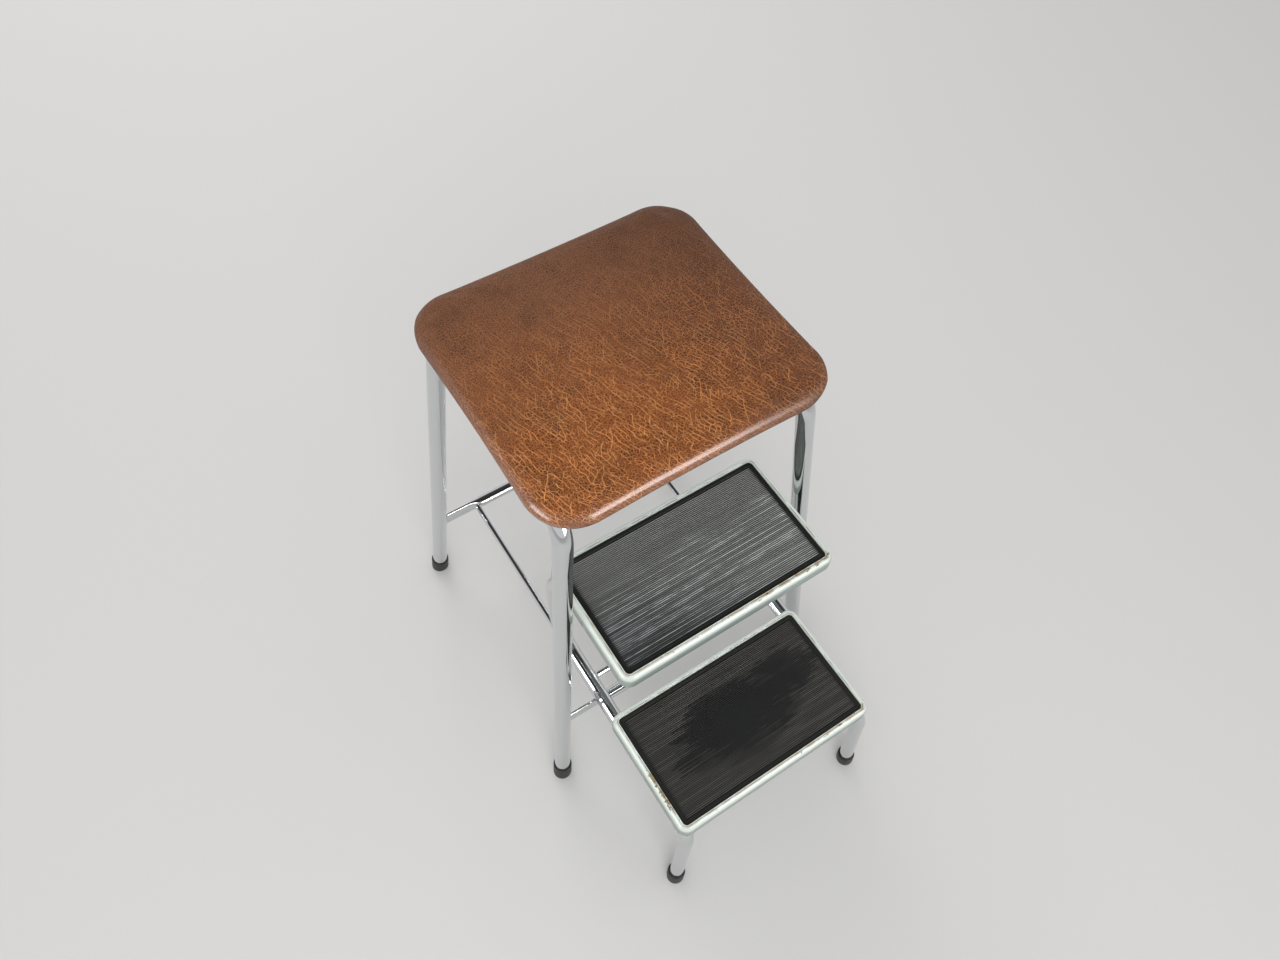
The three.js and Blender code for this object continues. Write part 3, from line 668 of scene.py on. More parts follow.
class NodeSketch(Wiring):
    """One material while it is being made."""

    def __init__(self, name: str) -> None:
        """Starts a material with its shader.

        Args:
            name: Name of the material.
        """
        self.material = bpy.data.materials.new(name)
        self.material.use_nodes = True
        super().__init__(self.material.node_tree)
        self.shader = self.tree.nodes["Principled BSDF"]
        self.place = self.node("TexCoord", {}, "Object")

    def axes(self, place: Signal | None = None) -> list[Signal]:
        """X, Y and Z of a place, or of the point being shaded."""
        return [self.node("SeparateXYZ", {0: place or self.place}, axis) for axis in range(3)]

    def mapped(self, scale: Colour, turn: float = 0.0, place: Signal | None = None) -> Signal:
        """A place turned about Z and then stretched.

        Args:
            scale: Factors along X, Y and Z.
            turn: Angle in radians.
            place: The place, or None for the point being shaded.

        Returns:
            The new place.
        """
        inputs = {
            "Vector": place or self.place,
            "Rotation": (0, 0, turn),
            "Scale": tuple(1 / factor for factor in scale),
        }
        return self.node("Mapping", inputs, vector_type="TEXTURE")

    def noise(
        self, scale: float, detail: float = 2.0, place: Signal | None = None, output: str = "Fac"
    ) -> Signal:
        """Soft noise about 0.5: one value from the output Fac, three from Color."""
        inputs = {"Vector": place or self.place, "Scale": scale, "Detail": detail}
        return self.node("TexNoise", inputs, output)

    def warped(self, scale: float, amount: float, place: Signal | None = None) -> Signal:
        """A place pushed about by noise.

        Args:
            scale: Waves to the metre.
            amount: Largest push, in metres.
            place: The place, or None for the point being shaded.

        Returns:
            The new place.
        """
        push = self.noise(scale, place=place, output="Color")
        inputs = {0: push, 1: (amount,) * 3, 2: place or self.place}
        return self.node("VectorMath", inputs, operation="MULTIPLY_ADD")

    def rolled_out(self, across: float, along: float) -> Signal:
        """The place laid flat, shifted for its height so that a pattern runs on down the sides."""
        x, y, z = self.axes()
        return self.node("CombineXYZ", {0: x + z * across, 1: y + z * along})

    def cracks(self, place: Signal, scale: float, width: float) -> Signal:
        """Lines between the cells of a broken flat surface.

        Args:
            place: The place, of which X and Y count.
            scale: Cells to the metre.
            width: Where a line has faded out, as a share of a cell from its middle.

        Returns:
            1 on the lines, falling to 0.
        """
        cells = self.node(
            "TexVoronoi", {"Vector": place, "Scale": scale}, "Distance",
            voronoi_dimensions="2D", feature="DISTANCE_TO_EDGE",
        )
        return cells.between(width, 0.0)

    def bump(self, height: Signal, distance: float, strength: float) -> None:
        """Joins a height, as a share of a distance, to the shader's normal."""
        inputs = {"Strength": strength, "Distance": distance, "Height": height}
        self.put(self.node("Bump", inputs), self.shader.inputs["Normal"])

    def set(self, **values: Value) -> Material:
        """Fills the shader's sockets.

        Args:
            values: Sockets by name, with low lines for spaces.

        Returns:
            The finished material.
        """
        names = {socket.name.lower().replace(" ", "_"): socket for socket in self.shader.inputs}
        for name, value in values.items():
            self.put(value, names[name])
        return self.material


@dataclass(frozen=True)
class Leatherette:
    """Brown cover with a net of paler veins and creases, coarser towards the front.

    Its warmer front and greyer back are partly its own fading and partly painted light; its darker
    right side and lower edge are painted shade.

    Attributes:
        front: Colour between the veins at the front.
        back: Colour between the veins at the back.
        front_vein: Colour of the veins at the front.
        back_vein: Colour of the veins at the back.
        shade: Colour of the darker clouds, and of the painted shade towards the right and along the
            lower edge.
    """

    front: Colour = (0.16, 0.032, 0.001)
    back: Colour = (0.125, 0.042, 0.011)
    front_vein: Colour = (0.7, 0.275, 0.072)
    back_vein: Colour = (0.3, 0.122, 0.05)
    shade: Colour = (0.05, 0.012, 0.001)

    def make(self, low: Vector, high: Vector) -> Material:
        """Makes the material.

        Args:
            low: Lowest corner of the seat.
            high: Highest corner of it.

        Returns:
            The material.
        """
        sketch = NodeSketch("leatherette")
        x, y, _ = sketch.axes(sketch.warped(9, 0.09))
        # From front to back the ground and veins turn from warm and bright to grey and dark: partly
        # the cover's own fading, partly painted light falloff from the front lamps and a painted
        # greyer sheen at the back.
        backwards = y.between(low.y + 0.09, high.y + 0.06)
        # Painted shade: share of the way to the right, over which the ground and veins darken.
        rightwards = x.between(0.0, high.x + 0.05)
        # Painted shade: the cover darkens towards its lower edge.
        lower = sketch.axes()[2].between(low.z + 0.012, low.z + 0.005)
        veins = self.veins(sketch, backwards)
        clouds = sketch.noise(24, 4).between(0.46, 0.68)
        mottle = sketch.noise(300, 3).between(0.35, 0.7)
        ground = backwards.mix(self.front, self.back)
        # Clouds and mottle are the cover's own uneven tone; the darkening to the right is painted
        # shade.
        for share in (clouds * 0.55, mottle * 0.6, rightwards * 0.62):
            ground = share.mix(ground, self.shade)
        vein_colour = backwards.mix(self.front_vein, self.back_vein)
        # The veins fade towards the right as part of that painted shade.
        colour = (veins * rightwards.blend(1.0, 0.52)).mix(ground, vein_colour)
        sketch.bump(veins + sketch.noise(500, 3) * 0.9, 0.00017, 0.8)
        dull = backwards.largest(rightwards)
        # The lower edge takes the painted shade colour.
        return sketch.set(
            base_color=(lower * 0.75).mix(colour, self.shade),
            roughness=veins.blend(0.32, 0.4) + dull * 0.2,
            specular_ior_level=0.5,
            coat_weight=dull.blend(0.7, 0.0),
            coat_roughness=0.2,
        )

    def veins(self, sketch: NodeSketch, backwards: Signal) -> Signal:
        """Long creases in two directions over a broken net and a finer one.

        Args:
            sketch: The material.
            backwards: Share of the way from front to back.

        Returns:
            1 on a strong vein, falling to 0.
        """
        place = sketch.warped(16, 0.022, sketch.warped(420, 0.0004, sketch.rolled_out(0.6, 0.8)))
        fine = sketch.cracks(sketch.mapped((1.0, 0.75, 1.0), 0.1, place), 400, 0.11)
        along = self.creases(sketch, sketch.warped(60, 0.008, place), 0.005, 0.3, (0.45, 0.55))
        across = self.creases(sketch, sketch.warped(45, 0.012, place), 0.008, -0.5, (0.52, 0.62))
        strong = (self.broken_net(sketch, place) * 0.95).largest(along.largest(across))
        strong = strong * backwards.blend(1.0, 0.25)
        return strong.largest(fine * backwards.blend(0.55, 0.7))

    @staticmethod
    def creases(
        sketch: NodeSketch, place: Signal, spacing: float, turn: float, limits: tuple[float, float]
    ) -> Signal:
        """Thin winding creases that run one way and break off.

        Args:
            sketch: The material.
            place: The place, already pushed about.
            spacing: Distance from one crease to the next.
            turn: Direction of the creases.
            limits: Noise values where a crease starts to show and where it shows in full.

        Returns:
            1 on a crease, falling to 0.
        """
        across = sketch.axes(sketch.mapped((1.0, 1.0, 1.0), turn, place))[0]
        near = sketch.math("PINGPONG", across * (1 / spacing), 0.5)
        shown = sketch.noise(1, 2, sketch.mapped((110, 34, 1), turn, place))
        return near.between(0.0006 / spacing, 0.0) * shown.between(*limits)

    @staticmethod
    def broken_net(sketch: NodeSketch, place: Signal) -> Signal:
        """Net of cells that fades out between long stripes.

        Args:
            sketch: The material.
            place: The place.

        Returns:
            1 on a strong line, falling to 0.
        """
        turn = 0.3
        net = sketch.cracks(sketch.mapped((1.0, 0.5, 1.0), turn, place), 290, 0.095)
        stripes = sketch.noise(1, 2, sketch.mapped((120, 56, 120), turn, place))
        return net * stripes.between(0.4, 0.6).blend(0.3, 1.0)


@dataclass(frozen=True)
class Chrome:
    """Bright plating with faint smears, and a little pitting near the floor.

    Attributes:
        bright: Colour of the clean plating.
        dull: Colour of the pits.
    """

    bright: Colour = (0.67, 0.68, 0.695)
    dull: Colour = (0.4, 0.39, 0.37)

    def make(self) -> Material:
        """Makes the material."""
        sketch = NodeSketch("chrome")
        smears = sketch.noise(1, 5, sketch.mapped((70, 70, 14))).between(0.45, 0.75)
        low = sketch.axes()[2].between(0.2, 0.02)
        worn = sketch.noise(520, 3).between(0.66, 0.74) * low
        return sketch.set(
            base_color=(worn * 0.8).mix(self.bright, self.dull),
            roughness=smears.blend(0.05, 0.13) + worn * 0.3,
            metallic=1.0,
        )


@dataclass(frozen=True)
class Zinc:
    """Dull plating of screws and rivets, in patches of two colours."""

    bright: Colour = (0.62, 0.61, 0.58)
    dull: Colour = (0.36, 0.35, 0.32)

    def make(self) -> Material:
        """Makes the material."""
        sketch = NodeSketch("zinc")
        spots = sketch.noise(380, 4).between(0.4, 0.7)
        return sketch.set(
            base_color=spots.mix(self.bright, self.dull),
            roughness=spots.blend(0.32, 0.5),
            metallic=1.0,
        )


@dataclass(frozen=True)
class Plywood:
    """Board coloured very dark as painted shade under the seat, with a long grain of early and late
    wood.

    Attributes:
        pale: Colour of the early wood.
        dark: Colour of the late wood.
    """

    pale: Colour = (0.05, 0.034, 0.024)
    dark: Colour = (0.028, 0.018, 0.013)

    def make(self) -> Material:
        """Makes the material."""
        sketch = NodeSketch("plywood")
        grain = sketch.noise(1, 5, sketch.warped(6, 0.6, sketch.mapped((220, 7, 220))))
        lines = grain.between(0.42, 0.62)
        fibres = sketch.noise(1, 3, sketch.mapped((1500, 60, 1500)))
        sketch.bump(lines + fibres, 0.00012, 0.5)
        return sketch.set(base_color=lines.mix(self.pale, self.dark), roughness=0.7)


@dataclass(frozen=True)
class Enamel:
    """Pale stoved enamel on a pressed tray, dirty and chipped inside its rim, with painted shade on
    its outer round and skirt.

    Attributes:
        tray: The tray.
        front_wear: How worn the front rim is, from 0 to 1.
        side_wear: How worn the left rim is, from 0 to 1.
        clean: Colour of the sound enamel.
        skirt: Colour towards the lower edge of the skirt, painted shade on the downward-facing
            round.
        worn: Colour of thin, yellowed enamel.
        dirt: Colour of the line of dirt.
        rust: Colour of rusty chips.
    """

    tray: StepTray
    front_wear: float
    side_wear: float
    clean: Colour = (0.66, 0.71, 0.655)
    skirt: Colour = (0.3, 0.36, 0.33)
    worn: Colour = (0.36, 0.29, 0.16)
    dirt: Colour = (0.045, 0.04, 0.022)
    rust: Colour = (0.14, 0.045, 0.018)

    def make(self) -> Material:
        """Makes the material."""
        tray = self.tray
        sketch = NodeSketch(f"{tray.step.word}_tray_enamel")
        x, y, z = sketch.axes()
        inset = self.inset(sketch, x, y)
        wear = self.wear(x, tray.centre_y - y)
        # Painted shade: the colour darkens from the crest down the outer round and the skirt.
        down = z.between(tray.height - 0.0005, tray.height - 0.0055)
        colour = down.mix(self.clean, self.skirt)
        yellow = inset.band(tray.groove - 0.0002, 0.0018, 0.0008)
        patches = sketch.noise(95, 4).between(0.36, 0.56)
        colour = (yellow * patches * wear * 0.85).mix(colour, self.worn)
        colour = self.chips(sketch, colour, inset, wear)
        line = inset.band(tray.groove, 0.0003, 0.0004)
        broken = wear.blend(sketch.noise(60, 3).between(0.36, 0.6), 1.0)
        colour = (line * broken * 0.8).mix(colour, self.dirt)
        sketch.bump(sketch.noise(240, 2), 0.00006, 0.5)
        roughness = wear.blend(0.26, 0.4)
        return sketch.set(base_color=colour, roughness=roughness, specular_ior_level=0.5)

    def wear(self, x: Signal, forward: Signal) -> Signal:
        """How worn the rim is, along the right half of its front and a stretch of its left side.

        Args:
            x: X of the place.
            forward: Distance in front of the tray's middle, along Y.

        Returns:
            The wear, from 0 to 1.
        """
        front = forward.between(self.tray.depth / 2 - 0.016, self.tray.depth / 2 - 0.009)
        front = front * x.between(-0.03, 0.08).blend(0.45, 1.0)
        side = (x * -1.0).between(self.tray.width / 2 - 0.016, self.tray.width / 2 - 0.009)
        side = side * forward.band(0.026, 0.022, 0.012) * 1.25
        return (front * self.front_wear).largest(side * self.side_wear)

    def inset(self, sketch: NodeSketch, x: Signal, y: Signal) -> Signal:
        """Distance inwards from the tray's outline.

        Args:
            sketch: The material.
            x: X of the place.
            y: Y of the place.

        Returns:
            The distance in metres.
        """
        tray = self.tray
        across = abs(x) - (tray.width / 2 - tray.corner)
        along = abs(y - tray.centre_y) - (tray.depth / 2 - tray.corner)
        past_x, past_y = across.largest(0.0), along.largest(0.0)
        past_corner = sketch.math("SQRT", past_x * past_x + past_y * past_y)
        within = sketch.math("MINIMUM", across.largest(along), 0.0)
        return tray.corner - past_corner - within

    def chips(self, sketch: NodeSketch, colour: Signal, inset: Signal, wear: Signal) -> Signal:
        """Chips down to primer and rust.

        Args:
            sketch: The material.
            colour: Colour so far.
            inset: Distance inwards from the outline.
            wear: How worn the place is.

        Returns:
            The colour with the chips.
        """
        zone = inset.band(self.tray.groove - 0.0012, 0.0019, 0.0006)
        flakes = sketch.noise(1, 4, sketch.mapped((190, 330, 330)))
        limit = 0.735 - wear * 0.15
        sharp = sketch.math("MULTIPLY", flakes - limit, 26.0, clamp=True)
        chip_colour = sketch.noise(120, 2).between(0.4, 0.6).mix(self.dirt, self.rust)
        return (sharp * zone).mix(colour, chip_colour)


@dataclass(frozen=True)
class RibbedRubber:
    """Black rubber of a step mat, greyed on the crests of its ribs.

    Attributes:
        tray: The tray that holds the mat.
        fresh: Colour of clean rubber.
        border_tint: Colour of the plain border.
        dusty: Colour of dusty crests.
        pale_streak_and_sheen: Colour of the pale streaks: painted sheen on the upper mat's polished
            crests, paler dust on the lower mat.
        shine: Specular level.
    """

    tray: StepTray
    fresh: Colour
    border_tint: Colour
    dusty: Colour
    pale_streak_and_sheen: Colour
    shine: float

    def make(self) -> Material:
        """Makes the material."""
        tray = self.tray
        sketch = NodeSketch(f"{tray.step.word}_mat_rubber")
        x, y, z = sketch.axes()
        behind = y - tray.centre_y
        crest = z.between(tray.height - 0.75 * tray.rib_height, tray.height - 0.1 * tray.rib_height)
        ribbed = self.within(x, tray.mat_width / 2 - tray.border)
        ribbed = ribbed * self.within(behind, tray.mat_depth / 2 - tray.border)
        colour, polish = self.crests(sketch, x, behind)
        colour = ribbed.mix(self.border_tint, crest.mix(self.fresh, colour))
        roughness = (polish * crest * ribbed).blend(0.48, 0.34)
        sketch.bump(sketch.noise(1400, 2), 0.00005, 0.6)
        return sketch.set(base_color=colour, roughness=roughness, specular_ior_level=self.shine)

    @staticmethod
    def within(value: Signal, limit: float) -> Signal:
        """1 while a distance to either side is below a limit, falling to 0 at it."""
        return abs(value).between(limit, limit - 0.001)

    def rib_noise(
        self, sketch: NodeSketch, x: Signal, behind: Signal, scale: float, seed: float
    ) -> Signal:
        """Noise that runs along each rib by itself.

        Args:
            sketch: The material.
            x: X of the place.
            behind: Distance behind the middle, along Y.
            scale: Waves to the metre along a rib.
            seed: Sets one such noise apart from another.

        Returns:
            The noise, about 0.5.
        """
        count = behind * (1 / self.tray.rib_pitch) + self.tray.rib_count / 2
        rib = sketch.math("FLOOR", count)
        return sketch.noise(1, 2, sketch.node("CombineXYZ", {0: x * scale, 1: rib * 2.7, 2: seed}))

    def crests(self, sketch: NodeSketch, x: Signal, behind: Signal) -> tuple[Signal, Signal]:
        """Colour of the ribs' crests and how polished they are, as each kind of rubber has it."""
        raise NotImplementedError


@dataclass(frozen=True)
class StreakedRubber(RibbedRubber):
    """Grey dust on the crests, with pale streaks along the ribs in a belt across the middle as
    painted sheen, and black crests towards the front left as painted shade.
    """

    fresh: Colour = (0.008, 0.009, 0.01)
    border_tint: Colour = (0.007, 0.008, 0.006)
    dusty: Colour = (0.185, 0.188, 0.17)
    pale_streak_and_sheen: Colour = (0.5, 0.54, 0.54)
    shine: float = 0.35

    def crests(self, sketch: NodeSketch, x: Signal, behind: Signal) -> tuple[Signal, Signal]:
        """Look of the ribs' crests.

        Args:
            sketch: The material.
            x: X of the place.
            behind: Distance behind the middle, along Y.

        Returns:
            Their colour and how polished they are.
        """
        cloud = sketch.noise(14, 3) * 0.09
        belt = (behind + cloud).band(0.04, 0.022, 0.024) * x.between(-0.12, 0.02).blend(0.5, 1.0)
        front = (behind + cloud).between(0.036, 0.0)
        single = self.rib_noise(sketch, x, behind, 4, 0.5).between(0.38, 0.6)
        broken = self.rib_noise(sketch, x, behind, 45, 6.5).between(0.36, 0.58)
        streaks = single * broken.blend(0.35, 1.0)
        # Painted shade: the crests turn black towards the front left, where the ribs show their
        # unlit sides.
        front_left_painted_shade = (x * 0.9 + behind * 1.5 + cloud).between(0.05, -0.12)
        colour = (front_left_painted_shade * 0.9).mix(self.dusty, self.fresh)
        # Painted sheen: the pale streaks show in the belt and at the front, where the crests are
        # polished.
        worn = belt.blend(0.12, 0.9).largest(front * 0.5)
        return (streaks * worn).mix(colour, self.pale_streak_and_sheen), streaks


@dataclass(frozen=True)
class PolishedRubber(RibbedRubber):
    """Brown dust all over but for a ragged dark patch, trodden clean, in the middle."""

    fresh: Colour = (0.0075, 0.0078, 0.0078)
    border_tint: Colour = (0.016, 0.016, 0.014)
    dusty: Colour = (0.05, 0.048, 0.042)
    pale_streak_and_sheen: Colour = (0.11, 0.106, 0.098)
    shine: float = 0.16

    def crests(self, sketch: NodeSketch, x: Signal, behind: Signal) -> tuple[Signal, Signal]:
        """Look of the ribs' crests.

        Args:
            sketch: The material.
            x: X of the place.
            behind: Distance behind the middle, along Y.

        Returns:
            Their colour and how polished they are.
        """
        patch_half_width, patch_half_depth = 0.12, 0.05
        tilted = behind - x * 0.12
        reach = x * x * (1 / patch_half_width**2) + tilted * tilted * (1 / patch_half_depth**2)
        ragged = self.rib_noise(sketch, x, behind, 11, 0.5) * 1.7 + sketch.noise(17, 2) * 2.8
        patch = (reach + ragged).between(3.12, 2.98)
        streaks = self.rib_noise(sketch, x, behind, 9, 6.5).between(0.46, 0.64)
        colour = (streaks * 0.55).mix(self.dusty, self.pale_streak_and_sheen)
        return (patch * 0.9).mix(colour, self.fresh), patch


@dataclass(frozen=True)
class CapRubber:
    """Matt black rubber of the caps, dusty near the floor.

    Attributes:
        clean: Colour of the rubber.
        dusty: Colour of the dust.
    """

    clean: Colour = (0.018, 0.018, 0.019)
    dusty: Colour = (0.075, 0.072, 0.068)

    def make(self) -> Material:
        """Makes the material."""
        sketch = NodeSketch("cap_rubber")
        low = sketch.axes()[2].between(0.012, 0.0)
        dust = sketch.noise(160, 4).between(0.4, 0.7) * low
        sketch.bump(sketch.noise(1100, 3), 0.00008, 0.5)
        return sketch.set(
            base_color=dust.mix(self.clean, self.dusty),
            roughness=dust.blend(0.5, 0.75),
            specular_ior_level=0.45,
        )


# Seat


@dataclass
class Seat:
    """Padded seat: foam under a cover that is turned under a plywood board.

    Attributes:
        low: Lowest corner of the pad's space.
        high: Highest corner of it.
        corner: Corner radius seen from above.
        thickness: Height of the pad at its edge.
        belly: Height of the widest place as a share of that.
        edge_round: Reach of the round top edge.
        lower_round: Reach of the lower edge.
        draw_in: How far the sides pull in between the corners.
        crown_share: Height of the crown before the pad swells, as a share of the space for it.
        crown_power: How late the crown falls off towards the edge.
        corner_power: How much faster the corners shrink than the sides towards the middle.
        start_inset: How much smaller the pad starts before it swells.
        hem_width: Reach of the hem under the board.
        hem_thickness: Thickness of the hem.
        board_inset: Distance of the board from the pad's side.
        board_thickness: Thickness of the board.
        board_gap: Clear space round the board.
        rings: Rings of the top, from its middle to the round edge.
        pressure: Pressure that swells the foam.
        swell_frames: Steps of the cloth solver.
        swell_cap: Furthest that a point may move as the pad swells.
        held_share: Share of the pad's height below which the cover is held.
        gathers: Depth of the small folds of the hem under the corners.
        gather_reach: Length of the gathered stretch as a share of a side.
    """

    low: Vector
    high: Vector
    corner: float = 0.052
    thickness: float = 0.023
    belly: float = 0.54
    edge_round: float = 0.0135
    lower_round: float = 0.009
    draw_in: float = 0.0016
    crown_share: float = 0.82
    crown_power: float = 2.4
    corner_power: float = 1.8
    start_inset: float = 0.0006
    hem_width: float = 0.022
    hem_thickness: float = 0.0014
    board_inset: float = 0.007
    board_thickness: float = 0.012
    board_gap: float = 0.0003
    rings: int = 30
    pressure: float = 1.2
    swell_frames: int = 20
    swell_cap: float = 0.0014
    held_share: float = 0.3
    gathers: float = 0.0007
    gather_reach: float = 0.16

    def outline(
        self, inset: float, height: float, half: int | None = None, size: float = 1.0
    ) -> Ring:
        """Outline of the seat, drawn in from its edge.

        Args:
            inset: Distance in from the edge.
            height: Height of the points.
            half: Half the number of points on a side, or None for as many as there are rings.
            size: Overall size as a share of the full one, with corners that shrink faster.

        Returns:
            The points, from the middle of one corner round to it again.
        """
        half = half or self.rings
        width = ((self.high.x - self.low.x) / 2 - inset) * size
        depth = ((self.high.y - self.low.y) / 2 - inset) * size
        radius = max(0.0005, (self.corner - inset) * size**self.corner_power)
        middle = (self.low + self.high) / 2
        points = []
        for side in range(4):
            turn = Matrix.Rotation(side * math.pi / 2, 3, "Z")
            reach, out = (width, depth) if side % 2 == 0 else (depth, width)
            length = 2 * (reach - radius) + radius * math.pi / 2
            for i in range(2 * half):
                point = turn @ self.along_side(length * i / (2 * half), radius, reach, out)
                points.append(Vector((middle.x + point.x, middle.y + point.y, height)))
        return points

    def along_side(self, way: float, radius: float, reach: float, out: float) -> Vector:
        """Point on the front side of an outline.

        Args:
            way: Distance from the middle of the left corner.
            radius: Corner radius.
            reach: Half the length of the side.
            out: Distance of the side from the middle.

        Returns:
            The point about the seat's middle.
        """
        arc = radius * math.pi / 4
        straight = 2 * (reach - radius)
        if way < arc:
            angle = math.pi * 1.25 + way / radius
            centre = Vector((-reach + radius, -out + radius, 0))
        elif way > arc + straight:
            angle = math.pi * 1.5 + (way - arc - straight) / radius
            centre = Vector((reach - radius, -out + radius, 0))
        else:
            share = (way - arc) / straight
            pull = 4 * share * (1 - share) * self.draw_in * min(1.0, out / self.high.x)
            return Vector((-reach + radius + way - arc, -out + pull, 0))
        return centre + Vector((math.cos(angle), math.sin(angle), 0)) * radius

    def edge_profile(self) -> Section:
        """Inset and height of the rings from the top's edge down to the underside."""
        belly = self.belly * self.thickness
        over = [
            (self.edge_round * (1 - cosine), lerp(belly, self.thickness, sine))
            for cosine, sine in reversed(quarter(14))
        ]
        under = [
            (self.lower_round * (1 - cosine), belly * (1 - sine))
            for cosine, sine in quarter(8)[1:]
        ]
        return over + under

    def crown(self, share: float) -> float:
        """Height of the top above its edge, a share of the way out from the middle."""
        space = self.high.z - self.low.z - self.thickness
        return space * self.crown_share * (1 - share**self.crown_power)

    def top_grid(self, skin: Skin) -> range:
        """Adds the top as a grid of nested outlines.

        Args:
            skin: The pad so far.

        Returns:
            Indices of its outer ring.
        """
        inset = self.start_inset + self.edge_round
        top = self.low.z + self.thickness
        middle = (self.low + self.high) / 2
        inner = skin.add_ring([Vector((middle.x, middle.y, top + self.crown(0)))])
        for k in range(1, self.rings + 1):
            share = k / self.rings
            outer = skin.add_ring(self.outline(inset, top + self.crown(share), k, share))
            self.fill_between(skin, inner, outer)
            inner = outer
        return inner

    @staticmethod
    def fill_between(skin: Skin, inner: range, outer: range) -> None:
        """Adds the quads between two nested squares of points.

        Args:
            skin: The pad so far.
            inner: Indices of the inner ring.
            outer: Indices of the outer ring, with two more points on each side.
        """
        half = len(outer) // 8
        for side in range(4):
            for i in range(2 * half - 1):
                far = [outer[(side * 2 * half + i + step) % len(outer)] for step in (-1, 0, 1)]
                near = [inner[(side * 2 * (half - 1) + i + step) % len(inner)] for step in (-1, 0)]
                skin.faces.append((far[1], far[2], near[1], near[0]) if i else (*far, near[1]))

    def under_rings(self) -> list[Ring]:
        """Rings of the hem and of the hollow for the board."""
        hollow = self.board_inset - self.board_gap
        floor = self.low.z + self.hem_thickness
        ceiling = floor + 2 * self.board_gap + self.board_thickness
        rings = []
        for share in (0.4, 0.7, 1.0):
            inset = lerp(self.lower_round, self.hem_width, share)
            ring = self.outline(self.start_inset + inset, self.low.z)
            rings.append([point + Z_AXIS * self.gather(i, share) for i, point in enumerate(ring)])
        for inset, height in ((self.hem_width, floor), (hollow, floor), (hollow, ceiling)):
            rings.append(self.outline(inset, height))
        return rings

    def gather(self, index: int, share: float) -> float:
        """Lift of a point of the hem in small folds under the corners.

        Args:
            index: Number of the point in its ring.
            share: How far in it lies on the hem.

        Returns:
            The lift.
        """
        side = 2 * self.rings
        from_corner = min(index % side, side - index % side) / side
        fold = max(0.0, 1 - from_corner / self.gather_reach)
        wave = 0.5 - 0.5 * math.cos(index * math.pi * 0.9)
        return self.gathers * fold * wave * share

    def skin(self) -> tuple[Skin, int]:
        """The pad before it swells, and how many of its points come before its underside."""
        skin = Skin("seat_cushion")
        edge = self.top_grid(skin)
        sides = [
            self.outline(self.start_inset + inset, self.low.z + height)
            for inset, height in self.edge_profile()[1:]
        ]
        added = skin.loft(sides + self.under_rings())
        skin.join(edge, added[0])
        skin.fan(added[-1])
        return skin, added[len(sides)][0]

    def swell(self, pad: Piece, free: int) -> None:
        """Swells the pad with the cloth solver, with its underside held.

        Args:
            pad: The pad, whose mesh is changed.
            free: How many of its points come before its underside.
        """
        mesh = pad.data
        rest = np.array([v.co for v in mesh.vertices], float)
        held_below = self.low.z + self.held_share * self.thickness
        held = pad.vertex_groups.new(name="held")
        fixed = [v.index for v in mesh.vertices if v.index >= free or v.co.z < held_below]
        held.add(fixed, 1.0, "REPLACE")
        solver = pad.modifiers.new("swell", "CLOTH")
        cloth = solver.settings
        cloth.quality = 6
        cloth.mass = 0.3
        cloth.use_pressure = True
        cloth.uniform_pressure_force = self.pressure
        cloth.effector_weights.gravity = 0
        cloth.vertex_group_mass = held.name
        scene = bpy.context.scene
        for frame in range(1, self.swell_frames + 1):
            scene.frame_set(frame)
        swollen = pad.evaluated_get(bpy.context.evaluated_depsgraph_get()).data
        shift = np.array([v.co for v in swollen.vertices], float) - rest
        pad.modifiers.remove(solver)
        scene.frame_set(1)
        way = np.linalg.norm(shift, axis=1, keepdims=True)
        eased = self.swell_cap * np.tanh(way / self.swell_cap)
        capped = rest + shift * (eased / np.maximum(way, 1e-9))
        mesh.vertices.foreach_set("co", capped.astype(np.float32).ravel())
        mesh.update()
        LOG.info("the pad swelled by up to %.1f mm", 1000 * float(eased.max()))

    def build(self, cover: Material) -> None:
        """Makes the pad.

        Args:
            cover: The cover's finish.
        """
        skin, free = self.skin()
        pad = skin.finish(cover, SOFT_ANGLE)
        self.swell(pad, free)
        finer = pad.modifiers.new("finer", "SUBSURF")
        finer.levels = finer.render_levels = 1
        settle(pad, FRAME_BODY, "seat_pad")


# Main frame


